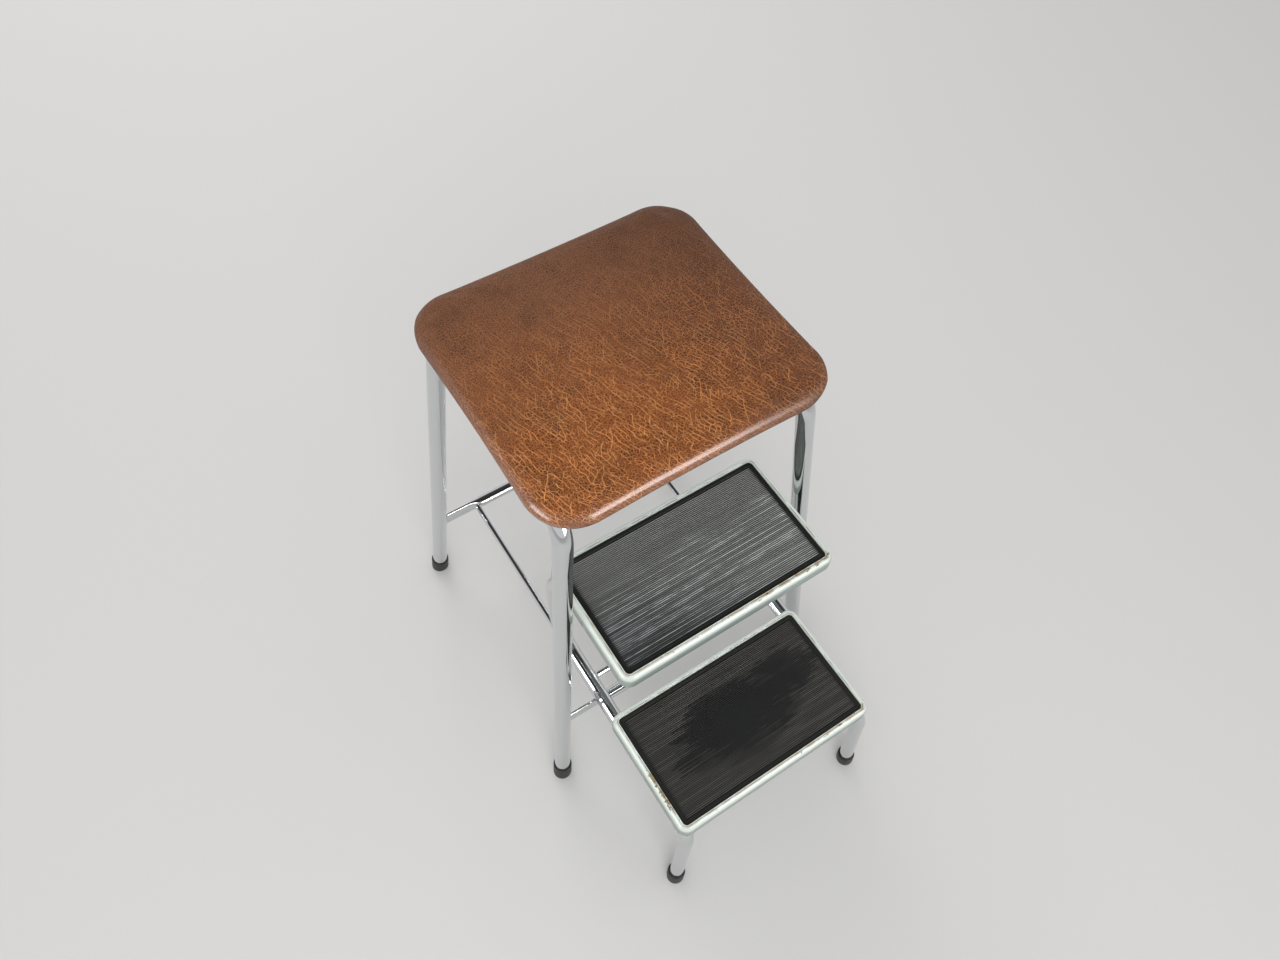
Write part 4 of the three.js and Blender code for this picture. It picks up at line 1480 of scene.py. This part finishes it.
@dataclass
class MainFrame:
    """Side frames, crossbars, guide rods and leg caps.

    Attributes:
        middle_y: Y of the seat's middle.
        chrome: Finish of the tubes and rods.
        rubber: Finish of the caps.
        leg_radius: Radius of the side frames' tube.
        leg_wall: Its wall.
        bend: Radius of its bends.
        foot_half_width: X of the feet.
        foot_half_depth: Y of the feet from the middle.
        shoulder_half_width: X of the shoulders.
        shoulder_half_depth: Y of the shoulders from the middle.
        shoulder_height: Height of the top run's centre line.
        bar_radius: Radius of the crossbars.
        bar_height: Height of the crossbars and of the guide rods.
        bar_setback: How far inside the legs' axes the crossbars lie.
        pinch_thickness: Thickness of a crossbar where it is pressed flat.
        pinch_length: Length of the flat.
        pinch_blend: Length of the change from round to flat.
        pinch_power: How blunt the flat's section is: 1 for an oval, less for a blunter one.
        pinch_valley: Depth of the valley along the flat, as a share of its thickness.
        valley_width: Width of the valley as a share of the flat.
        weld: Size of the welds.
        rod_radius: Radius of the guide rods.
        rod_x: X of the guide rods.
        cap_wall: Wall of the leg caps.
        cap_height: Height of the leg caps.
    """

    middle_y: float
    chrome: Material
    rubber: Material
    leg_radius: float = 0.011
    leg_wall: float = 0.0015
    bend: float = 0.045
    foot_half_width: float = 0.2082
    foot_half_depth: float = 0.1945
    shoulder_half_width: float = 0.1495
    shoulder_half_depth: float = 0.136
    shoulder_height: float = 0.5944
    bar_radius: float = 0.008
    bar_height: float = 0.153
    bar_setback: float = 0.002
    pinch_thickness: float = 0.0064
    pinch_length: float = 0.036
    pinch_blend: float = 0.022
    pinch_power: float = 0.62
    pinch_valley: float = 0.42
    valley_width: float = 0.42
    weld: float = 0.0014
    rod_radius: float = 0.004
    rod_x: float = 0.133
    cap_wall: float = 0.0017
    cap_height: float = 0.026

    def leg_axis(self, height: float, side: Side, end: End) -> Vector:
        """Centre line of a leg at a height.

        Args:
            height: The height.
            side: Left or right.
            end: Front or rear.

        Returns:
            The point.
        """
        share = height / self.shoulder_height
        x = lerp(self.foot_half_width, self.shoulder_half_width, share)
        y = lerp(self.foot_half_depth, self.shoulder_half_depth, share)
        return Vector((side.value * x, self.middle_y + end.value * y, height))

    def leg_ends(self, side: Side, end: End) -> list[Vector]:
        """Where a leg's centre line meets the floor, and its shoulder."""
        return [self.leg_axis(height, side, end) for height in (0, self.shoulder_height)]

    def side_frame(self, side: Side) -> None:
        """Makes one side frame.

        Args:
            side: Left or right.
        """
        corners = []
        for end in End:
            foot, shoulder = self.leg_ends(side, end)
            raised = foot + (shoulder - foot).normalized() * CAP_FLOOR
            corners.extend([raised, shoulder] if end is End.FRONT else [shoulder, raised])
        tube = Tube(BentLine(corners, [self.bend, self.bend]), self.leg_radius, self.leg_wall)
        name = f"side_frame_{side.word}"
        settle(tube.make(f"{name}_tube", self.chrome), FRAME_BODY, name)

    def bar_section(self, pinch: float, growth: float = 0.0) -> Section:
        """Section of a crossbar, from round to pressed flat.

        Args:
            pinch: How flat it is, from 0 to 1.
            growth: Extra radius.

        Returns:
            Places in the section, as distances along Y and Z.
        """
        flat = self.pinch_thickness / 2
        half_thickness = lerp(self.bar_radius, flat, pinch)
        half_height = lerp(self.bar_radius, flat + math.pi / 2 * (self.bar_radius - flat), pinch)
        power = lerp(1.0, self.pinch_power, pinch)
        places = []
        for i in range(TUBE_SIDES):
            angle = 2 * math.pi * (i + 0.5) / TUBE_SIDES
            across, up = math.cos(angle), math.sin(angle)
            thick = math.copysign(abs(across) ** power, across) * half_thickness
            valley = self.pinch_valley * pinch * math.exp(-((up / self.valley_width) ** 2))
            places.append((thick * (1 - valley) + growth * across, up * (half_height + growth)))
        return places

    def bar_contact(self, y: float, z: float, end: End) -> float:
        """X where a line along a crossbar meets the leg.

        Args:
            y: Y of the line.
            z: Height of the line.
            end: Front or rear.

        Returns:
            The X on the right side.
        """
        leg = self.leg_axis(z, Side.RIGHT, end)
        offset = min(abs(y - leg.y), self.leg_radius * 0.999)
        return leg.x - math.sqrt(self.leg_radius**2 - offset**2)

    def bar_half(self, end: End) -> list[Ring]:
        """Rings of the right half of a crossbar, from its weld to its middle.

        Args:
            end: Front or rear.

        Returns:
            The rings.
        """
        middle = self.leg_axis(self.bar_height, Side.RIGHT, end)
        y = middle.y - end.value * self.bar_setback
        rings = []
        for out_share, growth_share in FLAT_WELD_SHARES:
            ring = []
            for across, up in self.bar_section(1.0, growth_share * self.weld):
                place = (y + across, self.bar_height + up)
                x = self.bar_contact(*place, end) - out_share * self.weld
                ring.append(Vector((x, *place)))
            rings.append(ring)
        flat_start = middle.x - self.leg_radius - self.pinch_length
        steps = 16
        for i in range(steps + 1):
            x = flat_start - i / steps * self.pinch_blend
            section = self.bar_section(1 - smooth(i / steps))
            rings.append([Vector((x, y + across, self.bar_height + up)) for across, up in section])
        return rings

    def crossbar(self, end: End) -> None:
        """Makes one crossbar.

        Args:
            end: Front or rear.
        """
        right = self.bar_half(end)
        left = [[Vector((-p.x, p.y, p.z)) for p in ring] for ring in reversed(right)]
        name = f"{end.word}_crossbar"
        skin = Skin(f"{name}_tube")
        skin.closed_loft(right + left)
        settle(skin.finish(self.chrome), FRAME_BODY, name)

    def guide_rod(self, side: Side) -> None:
        """Makes one guide rod.

        Args:
            side: Left or right.
        """
        ends = []
        for end in End:
            y = self.leg_axis(self.bar_height, side, end).y - end.value * self.bar_setback
            ends.append(Vector((side.value * self.rod_x, y, self.bar_height)))
        name = f"guide_rod_{side.word}"
        rod = WeldedRod(*ends, self.rod_radius, self.bar_radius).make(f"{name}_bar", self.chrome)
        settle(rod, FRAME_BODY, name)

    def leg_cap(self, side: Side, end: End) -> None:
        """Makes the cap of one leg.

        Args:
            side: Left or right.
            end: Front or rear.
        """
        foot, shoulder = self.leg_ends(side, end)
        cap = Cap(foot, shoulder, self.leg_radius, self.cap_wall, self.cap_height)
        name = f"leg_cap_{end.word}_{side.word}"
        settle(cap.make(f"{name}_rubber", self.rubber), FRAME_BODY, name)

    def build(self) -> None:
        """Makes all its pieces."""
        for side in Side:
            self.side_frame(side)
            self.guide_rod(side)
            for end in End:
                self.leg_cap(side, end)
        for end in End:
            self.crossbar(end)


# Step unit


@dataclass
class StepCarrier:
    """Step tubes, tie rod, guide eyes and step caps.

    Attributes:
        main_frame: The frame that it slides in.
        tube_x: X of the step tubes.
        radius: Their radius.
        wall: Their wall.
        lower_run: Height of the run under the lower tray.
        upper_run: Height of the run under the upper tray.
        knee: Y of the knee from the middle.
        knee_bend: Bend radius of the knee.
        foot_splay: How far the foot stands out to the side.
        foot_kick: How far the foot stands out to the front.
        upright: Y of the upright from the middle.
        lower_bend: Bend radius at the foot of the upright.
        upper_bend: Bend radius at its head.
        run_end: Y of the upper run's end from the middle.
        cap_wall: Wall of the step caps.
        cap_height: Height of the step caps.
        tie_radius: Radius of the tie rod.
        tie_reach: Y of the tie rod from the middle.
        eye_radius: Outer radius of the guide eyes.
        eye_bore: Radius of their bores.
        eye_web: Width of the web at the sleeve.
        eye_edge: Size of their broken edges.
        eye_bite: How far the web reaches into the step tube.
    """

    main_frame: MainFrame
    tube_x: float = 0.136
    radius: float = 0.0095
    wall: float = 0.0015
    lower_run: float = 0.1882
    upper_run: float = 0.3892
    knee: float = 0.387
    knee_bend: float = 0.035
    foot_splay: float = 0.014
    foot_kick: float = 0.0127
    upright: float = 0.072
    lower_bend: float = 0.045
    upper_bend: float = 0.08
    run_end: float = 0.2383
    cap_wall: float = 0.0023
    cap_height: float = 0.022
    tie_radius: float = 0.0045
    tie_reach: float = 0.157
    eye_radius: float = 0.007
    eye_bore: float = 0.0046
    eye_web: float = 0.006
    eye_edge: float = 0.0005
    eye_bite: float = 0.0004

    def at(self, side: Side, reach: float, height: float, splay: float = 0.0) -> Vector:
        """Point in a step tube's plane, or out from it, a reach in front of the middle."""
        x = side.value * (self.tube_x + splay)
        return Vector((x, self.main_frame.middle_y - reach, height))

    def foot(self, side: Side) -> Vector:
        """Where a step tube's centre line meets the floor."""
        return self.at(side, self.knee + self.foot_kick, 0, self.foot_splay)

    def step_tube(self, side: Side) -> None:
        """Makes one step tube.

        Args:
            side: Left or right.
        """
        foot = self.foot(side)
        knee, *others = (
            self.at(side, reach, height)
            for reach, height in (
                (self.knee, self.lower_run), (self.upright, self.lower_run),
                (self.upright, self.upper_run), (self.run_end, self.upper_run),
            )
        )
        start = foot + (knee - foot).normalized() * CAP_FLOOR
        line = BentLine([start, knee, *others], [self.knee_bend, self.lower_bend, self.upper_bend])
        name = f"step_tube_{side.word}"
        tube = Tube(line, self.radius, self.wall).make(f"{name}_bent", self.main_frame.chrome)
        settle(tube, STEP_BODY, name)

    def tie_rod(self) -> None:
        """Makes the tie rod."""
        ends = [self.at(side, self.tie_reach, self.lower_run) for side in Side]
        rod = WeldedRod(*ends, self.tie_radius, self.radius)
        piece = rod.make("tie_rod_bar", self.main_frame.chrome)
        settle(piece, STEP_BODY, "tie_rod")

    def eye_reach(self, side: Side, angle: float) -> float:
        """Distance from the rod's axis to the eye's outline.

        Args:
            side: Left or right.
            angle: Direction, from straight up towards +X.

        Returns:
            The distance.
        """
        shift = side.value * (self.tube_x - self.main_frame.rod_x)
        run = self.lower_run - self.main_frame.bar_height
        direction = Vector((math.sin(angle), math.cos(angle)))
        if direction.y <= 0.2:
            return self.eye_radius
        reach = self.eye_radius
        steps = 59
        for i in range(steps + 1):
            way = lerp(self.eye_radius, run, i / steps)
            x, up = direction.x * way, direction.y * way
            half = lerp(self.eye_web / 2, self.eye_web, up / run)
            in_tube = math.hypot(x - shift, up - run) < self.radius - self.eye_bite
            if abs(x - shift * up / run) > half or in_tube:
                break
            reach = way
        return reach

    def guide_eye(self, side: Side, end: End) -> None:
        """Makes one guide eye in its node's place.

        Args:
            side: Left or right.
            end: Front or rear.
        """
        name = f"{end.word}_guide_eye_{side.word}"
        low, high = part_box(name)
        angles = [math.pi * (-1 + 2 * i / EYE_SIDES) for i in range(EYE_SIDES)]
        outer = [self.eye_reach(side, angle) for angle in angles]
        bore = [self.eye_bore] * EYE_SIDES
        edge = self.eye_edge
        sections = [
            (low.y, -edge, outer), (low.y + edge, 0, outer), (high.y - edge, 0, outer),
            (high.y, -edge, outer), (high.y, edge, bore), (high.y - edge, 0, bore),
            (low.y + edge, 0, bore), (low.y, edge, bore),
        ]
        centre = Vector((side.value * self.main_frame.rod_x, 0, self.main_frame.bar_height))
        rings = []
        for y, growth, reaches in sections:
            ring = []
            for angle, reach in zip(angles, reaches):
                size = reach + growth
                ring.append(centre + Vector((math.sin(angle) * size, y, math.cos(angle) * size)))
            rings.append(ring)
        skin = Skin(f"{name}_sleeve")
        skin.loft(rings, looped=True)
        settle(skin.finish(self.main_frame.chrome), STEP_BODY, name)

    def step_cap(self, side: Side) -> None:
        """Makes one step cap.

        Args:
            side: Left or right.
        """
        knee = self.at(side, self.knee, self.lower_run)
        cap = Cap(self.foot(side), knee, self.radius, self.cap_wall, self.cap_height)
        name = f"step_cap_{side.word}"
        settle(cap.make(f"{name}_rubber", self.main_frame.rubber), STEP_BODY, name)

    def build(self) -> None:
        """Makes all its pieces."""
        self.tie_rod()
        for side in Side:
            self.step_tube(side)
            self.step_cap(side)
            for end in End:
                self.guide_eye(side, end)


@dataclass
class StepTray:
    """Pressed tray whose rim rounds off outward, and the ribbed mat let into it.

    Attributes:
        step: Lower or upper.
        carrier: The tubes under it.
        reach: Distance of its middle in front of the seat's.
        height: Height of the mat's top.
        rib_wear: How far the ribs are worn down in the middle, as a share of their height.
        mat_width: Width of the mat.
        mat_depth: Depth of the mat.
        mat_thickness: Thickness of the mat.
        rim: Width of the rim round the mat.
        rise: Height of the rim's crest above the mat.
        wall: Thickness of the sheet.
        corner: Corner radius of the tray.
        skirt: Depth of the skirt below the mat's top.
        mat_gap: Clear space beside the mat.
        fit: Clear space under the mat.
        lip: Width of the lip beside the mat.
        drop: Depth of the rim's round below the mat's top.
        groove_depth: Depth of the groove between the lip and the round.
        groove_half: Half its width.
        corner_steps: Steps in each corner.
        notch_gap: Clear space between the notches and the tubes.
        tube_gap: Clear space between the tray's floor and the tubes.
        border: Plain border of the mat.
        gap: Gap between the border and the ends of the ribs.
        rib_pitch: Distance from rib to rib.
        rib_height: Height of the ribs.
        rib_foot: Width of a rib at its foot.
        rib_stations: Stations along a rib.
        end_height: Height of a rib's ends as a share of its own.
        end_width: Width of a rib's ends as a share of its own.
        worn_half_width: Half the width of the place where the ribs are worn.
        worn_half_depth: Half the depth of that place.
    """

    step: Step
    carrier: StepCarrier
    reach: float
    height: float
    rib_wear: float
    mat_width: float = 0.2775
    mat_depth: float = 0.1538
    mat_thickness: float = 0.0035
    rim: float = 0.0086
    rise: float = 0.002
    wall: float = 0.0012
    corner: float = 0.014
    skirt: float = 0.019
    mat_gap: float = 0.0004
    fit: float = 0.0001
    lip: float = 0.0015
    drop: float = 0.0068
    groove_depth: float = 0.0005
    groove_half: float = 0.00045
    corner_steps: int = 14
    notch_gap: float = 0.0007
    tube_gap: float = 0.0006
    border: float = 0.005
    gap: float = 0.0009
    rib_pitch: float = 0.00227
    rib_height: float = 0.0009
    rib_foot: float = 0.0016
    rib_stations: int = 56
    end_height: float = 0.55
    end_width: float = 0.85
    worn_half_width: float = 0.1
    worn_half_depth: float = 0.055

    @property
    def centre_y(self) -> float:
        """Y of the tray's middle."""
        return self.carrier.main_frame.middle_y - self.reach

    @property
    def width(self) -> float:
        """Width of the tray."""
        return self.mat_width + 2 * self.rim

    @property
    def depth(self) -> float:
        """Depth of the tray."""
        return self.mat_depth + 2 * self.rim

    @property
    def well(self) -> float:
        """Inset of the wall beside the mat."""
        return self.rim - self.mat_gap

    @property
    def groove(self) -> float:
        """Inset of the groove between the lip and the round."""
        return self.well - self.lip

    @property
    def rib_count(self) -> int:
        """Number of ribs on the mat."""
        return int((self.mat_depth - 2 * (self.border + self.gap)) / self.rib_pitch)

    def over_rim(self, inset: float) -> float:
        """Height of the rim's outside over the mat's top.

        Args:
            inset: Distance in from the tray's outline.

        Returns:
            The height.
        """
        outwards = max(0.0, self.groove - inset) / self.groove
        rounded = (self.rise + self.drop) * math.sqrt(max(0.0, 1 - outwards**2)) - self.drop
        groove_share = math.exp(-(((inset - self.groove) / self.groove_half) ** 2))
        return rounded - self.groove_depth * groove_share

    def profile(self) -> Section:
        """Inset from the outline and height over the mat's top, round the sheet's section."""
        floor = -self.mat_thickness - self.fit
        edge = self.lip / 4
        past_groove = 0.6 * self.lip
        outer = [(self.well, floor)]
        for cosine, sine in quarter(4):
            inset = self.well - edge * (1 - cosine)
            outer.append((inset, self.over_rim(inset) - edge * (1 - sine)))
        near, far = self.well - edge, self.groove - past_groove
        lip_insets = [lerp(near, far, i / 12) for i in range(1, 12)]
        first = math.acos(past_groove / self.groove)
        round_insets = [self.groove * (1 - math.cos(first * (1 - i / 14))) for i in range(15)]
        outer += [(inset, self.over_rim(inset)) for inset in lip_insets + round_insets]
        outer += [
            (0.0, -self.skirt + self.wall / 3), (self.wall / 8, -self.skirt + self.wall / 12),
            (self.wall / 2, -self.skirt), (self.wall, -self.skirt + self.wall / 3),
        ]
        inner = [
            (
                self.groove - (self.groove - self.wall) * cosine,
                (self.rise + self.drop - self.wall) * sine - self.drop,
            )
            for cosine, sine in quarter(8)
        ]
        inner += [
            (self.well - self.wall, 0.0), (self.well - self.wall, floor - self.wall / 2),
            (self.well - self.wall / 4, floor - self.wall),
        ]
        return outer + inner

    def rings(self, section: Section, rim: float, least: float, steps: int) -> list[Ring]:
        """Level rings round the step.

        Args:
            section: Insets and heights over the mat's top.
            rim: Width of the rim outside the outline that the insets are measured from.
            least: Smallest corner radius.
            steps: Steps in each corner.

        Returns:
            The rings.
        """
        rings = []
        for inset, lift in section:
            middle = Vector((0, self.centre_y, self.height + lift))
            inset += rim
            radius = max(least, self.corner - inset)
            width, depth = self.width - 2 * inset, self.depth - 2 * inset
            rings.append(rounded_rectangle(middle, width, depth, radius, steps))
        return rings

    def tray(self, enamel: Material) -> None:
        """Makes the tray.

        Args:
            enamel: Its finish.
        """
        name = f"{self.step.word}_tray"
        skin = Skin(f"{name}_sheet")
        skin.closed_loft(self.rings(self.profile(), 0.0, 0.0008, self.corner_steps))
        piece = skin.finish(enamel)
        if self.step is Step.LOWER:
            self.notch(piece)
        settle(piece, STEP_BODY, name)

    def notch(self, piece: Piece) -> None:
        """Cuts the back skirt over the step tubes.

        Args:
            piece: The tray.
        """
        tube_radius = self.carrier.radius
        run_height = self.height - self.mat_thickness - self.wall - self.tube_gap - tube_radius
        back = self.centre_y + self.depth / 2
        clear = tube_radius + self.notch_gap
        overrun = 0.004
        angles = [math.pi * i / 24 for i in range(25)]
        for side in Side:
            x = side.value * self.carrier.tube_x
            skin = Skin(f"notch_{side.word}")
            rings = []
            for y in (back - self.corner - overrun, back + overrun):
                arch = [
                    Vector((x + clear * math.cos(a), y, run_height + clear * math.sin(a)))
                    for a in angles
                ]
                foot = run_height - 2 * clear
                rings.append([*arch, Vector((x - clear, y, foot)), Vector((x + clear, y, foot))])
            skin.closed_loft(rings)
            cutter = skin.finish(piece.data.materials[0])
            cut = piece.modifiers.new(cutter.name, "BOOLEAN")
            cut.operation = "DIFFERENCE"
            cut.solver = "EXACT"
            cut.object = cutter
            bpy.context.view_layer.objects.active = piece
            bpy.ops.object.modifier_apply(modifier=cut.name)
            bpy.data.objects.remove(cutter)

    def mat_slab(self, skin: Skin) -> None:
        """Adds the mat's body with a sunk field for the ribs.

        Args:
            skin: The mat so far.
        """
        section = [
            (0.0003, -self.mat_thickness), (0.0, -self.mat_thickness + 0.0003), (0.0, -0.0006),
            (0.0002, -0.00015), (0.0007, 0.0), (self.border - 0.0012, 0.0),
            (self.border - 0.0009, -0.0002), (self.border - 0.0006, 0.0),
            (self.border - 0.0002, 0.0), (self.border, -0.0002), (self.border, -self.rib_height),
        ]
        skin.closed_loft(self.rings(section, self.rim, 0.0006, 8))

    def rib_section(self, crest: float, width: float) -> Section:
        """Section of a rib: distances along Y from its middle and heights over the field.

        Args:
            crest: Height of the crest.
            width: Width as a share of the full one.

        Returns:
            The points.
        """
        half = self.rib_foot / 2 * width
        right = [(half, -0.25 * crest)]
        for i in range(6):
            angle = math.pi / 2 * i / 5.5
            right.append((half * math.cos(angle), crest * math.sin(angle)))
        return right + [(-across, rise) for across, rise in reversed(right)]

    def wear_at(self, x: float, y: float) -> float:
        """How far a rib is worn down at a place, as a share of its height.

        Args:
            x: X of the place.
            y: Distance behind the mat's middle, along Y.

        Returns:
            The share.
        """
        ragged = noise.noise(Vector((x * 18, y * 110, self.centre_y)))
        reach = (x / self.worn_half_width) ** 2 + (y / self.worn_half_depth) ** 2 + 0.6 * ragged
        return self.rib_wear * (1 - smooth((reach - 0.55) / 0.7))

    def mat_ribs(self, skin: Skin) -> None:
        """Adds the ribs, each its own bar with round ends.

        Args:
            skin: The mat so far.
        """
        length = self.mat_width - 2 * (self.border + self.gap)
        floor = self.height - self.rib_height
        for rib in range(self.rib_count):
            y = (rib - (self.rib_count - 1) / 2) * self.rib_pitch
            rings = []
            for i in range(self.rib_stations + 1):
                x = (i / self.rib_stations - 0.5) * length
                at_end = i in (0, self.rib_stations)
                crest = self.rib_height * (1 - self.wear_at(x, y))
                section = self.rib_section(
                    crest * (self.end_height if at_end else 1.0), self.end_width if at_end else 1.0
                )
                rings.append([Vector((x, self.centre_y + y + a, floor + up)) for a, up in section])
            skin.closed_loft(rings)

    def mat(self, rubber: Material) -> None:
        """Makes the mat.

        Args:
            rubber: Its finish.
        """
        name = f"{self.step.word}_mat"
        skin = Skin(f"{name}_rubber")
        self.mat_slab(skin)
        self.mat_ribs(skin)
        settle(skin.finish(rubber, SOFT_ANGLE), STEP_BODY, name)

    def build(self, front_wear: float, side_wear: float, rubber: type[RibbedRubber]) -> None:
        """Makes the tray, its front and left rims worn from 0 to 1, and its mat."""
        self.tray(Enamel(self, front_wear, side_wear).make())
        self.mat(rubber(self).make())


# Studio


@dataclass
class Softbox:
    """A soft rectangular lamp.

    Attributes:
        name: Name of the lamp.
        place: Where it stands.
        aim: What it faces.
        size: Its width and height.
        watts: Its power.
        shines: Whether it shows in glossy surfaces.
        fills: Whether it lights matt surfaces.
    """

    name: str
    place: Vector
    aim: Vector
    size: tuple[float, float]
    watts: float
    shines: bool = True
    fills: bool = True

    def light(self) -> None:
        """Puts the lamp in the scene."""
        lamp = bpy.data.lights.new(self.name, "AREA")
        lamp.shape = "RECTANGLE"
        lamp.size, lamp.size_y = self.size
        lamp.energy = self.watts
        holder = bpy.data.objects.new(self.name, lamp)
        holder.location = self.place
        holder.visible_glossy = self.shines
        holder.visible_diffuse = self.fills
        holder.rotation_mode = "QUATERNION"
        holder.rotation_quaternion = (self.aim - self.place).to_track_quat("-Z", "Y")
        bpy.context.scene.collection.objects.link(holder)


@dataclass
class Studio:
    """Camera, floor, backdrop and lamps.

    Attributes:
        target: Point at the middle of the picture.
        azimuth: Angle of the camera round the object, in degrees.
        elevation: Its angle above the horizon, in degrees.
        roll: Its turn about its own axis, in degrees.
        distance: Its distance from the target.
        lens: Focal length in mm.
        sensor: Sensor width in mm.
        seat: Point that the front lamps face.
        floor_size: Size of the floor.
        floor_colour: Colour of the floor.
        horizon: Colour of the backdrop at the horizon.
        zenith: Colour of the ceiling in glossy surfaces.
    """

    target: Vector = field(default_factory=lambda: Vector((0.0053, 0.0576, 0.4112)))
    azimuth: float = -36.0
    elevation: float = 58.5
    roll: float = 3.7
    distance: float = 1.1654
    lens: float = 27.0
    sensor: float = 36.0
    seat: Vector = field(default_factory=lambda: Vector((0, 0.1, 0.6)))
    floor_size: float = 24.0
    floor_colour: Colour = (0.59, 0.585, 0.575)
    horizon: Colour = (0.75, 0.75, 0.75)
    zenith: Colour = (0.05, 0.05, 0.053)

    def camera(self) -> None:
        """Puts the camera where the photograph was taken from."""
        around, up = math.radians(self.azimuth), math.radians(self.elevation)
        level = math.cos(up)
        back = Vector((math.sin(around) * level, -math.cos(around) * level, math.sin(up)))
        data = bpy.data.cameras.new("camera")
        data.lens = self.lens
        data.sensor_width = self.sensor
        data.clip_start = 0.05
        data.clip_end = 60
        camera = bpy.data.objects.new("camera", data)
        roll = Matrix.Rotation(math.radians(self.roll), 3, "Z")
        turn = (-back).to_track_quat("-Z", "Y").to_matrix() @ roll
        camera.matrix_world = Matrix.Translation(self.target + back * self.distance) @ turn.to_4x4()
        bpy.context.scene.collection.objects.link(camera)
        bpy.context.scene.camera = camera

    def floor(self) -> None:
        """Lays the plain pale floor."""
        half = self.floor_size / 2
        skin = Skin("floor")
        corners = [(-half, -half, 0), (half, -half, 0), (half, half, 0), (-half, half, 0)]
        skin.faces.append(tuple(skin.add_ring(map(Vector, corners))))
        sketch = NodeSketch("floor")
        material = sketch.set(base_color=self.floor_colour, roughness=0.9, specular_ior_level=0.15)
        skin.finish(material)

    def sky(self) -> None:
        """Makes the pale backdrop, whose dark ceiling is seen and mirrored but lights nothing."""
        world = bpy.data.worlds.new("backdrop")
        world.use_nodes = True
        bpy.context.scene.world = world
        wiring = Wiring(world.node_tree)
        rays = world.node_tree.nodes.new("ShaderNodeLightPath").outputs
        seen = Signal(wiring, rays["Is Camera Ray"])
        for name in ("Is Glossy Ray", "Is Transmission Ray"):
            seen = seen.largest(Signal(wiring, rays[name]))
        direction = wiring.node("TexCoord", {}, "Generated")
        rise = wiring.node("SeparateXYZ", {0: direction}, "Z").between(0.3, 0.78)
        background = world.node_tree.nodes["Background"]
        wiring.put((rise * seen).mix(self.horizon, self.zenith), background.inputs["Color"])
        background.inputs["Strength"].default_value = 1.0

    def lamps(self) -> None:
        """Lights the object from the front left and above, with two strips for its highlights."""
        seat = self.seat
        floor, far_floor = Vector((0, 0.2, 0)), Vector((0.2, 1.8, 0))
        for lamp in (
            Softbox("strip", seat + Vector((0.62, -1.75, 0.62)), seat, (1.0, 1.4), 44, fills=False),
            Softbox("side", seat + Vector((-1.79, -0.12, 0.57)), seat, (1.3, 1.0), 33, fills=False),
            Softbox("key", seat + Vector((-0.7, -1.6, 1.3)), seat, (1.2, 1.2), 17, shines=False),
            Softbox("top", Vector((-0.9, -0.9, 3.1)), floor, (1.4, 1.4), 10, shines=False),
            Softbox("back", Vector((0.3, 3.0, 2.8)), far_floor, (2.0, 2.0), 42, shines=False),
        ):
            lamp.light()

    def build(self) -> None:
        """Sets up the whole studio."""
        bpy.context.scene.view_settings.view_transform = "Standard"
        self.camera()
        self.floor()
        self.sky()
        self.lamps()


# The whole stool


def main() -> None:
    """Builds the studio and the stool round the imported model."""
    logging.basicConfig(level=logging.INFO, format="%(name)s: %(message)s")
    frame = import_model()
    Studio().build()

    pad_low, pad_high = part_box("seat_pad")
    Seat(pad_low, pad_high).build(Leatherette().make(pad_low, pad_high))
    main_frame = MainFrame((pad_low.y + pad_high.y) / 2, Chrome().make(), CapRubber().make())
    main_frame.build()
    carrier = StepCarrier(main_frame)
    carrier.build()
    lower = StepTray(Step.LOWER, carrier, reach=0.3048, height=0.203, rib_wear=0.42)
    lower.build(front_wear=0.75, side_wear=1.0, rubber=PolishedRubber)
    upper = StepTray(Step.UPPER, carrier, reach=0.1668, height=0.404, rib_wear=0.12)
    upper.build(front_wear=1.0, side_wear=0.25, rubber=StreakedRubber)

    dress(frame["nodes"]["seat_board"], Plywood().make())
    zinc = Zinc().make()
    for name, node in frame["nodes"].items():
        if "screw" in name or "rivet" in name:
            dress(node, zinc)


if __name__ == "__main__":
    main()
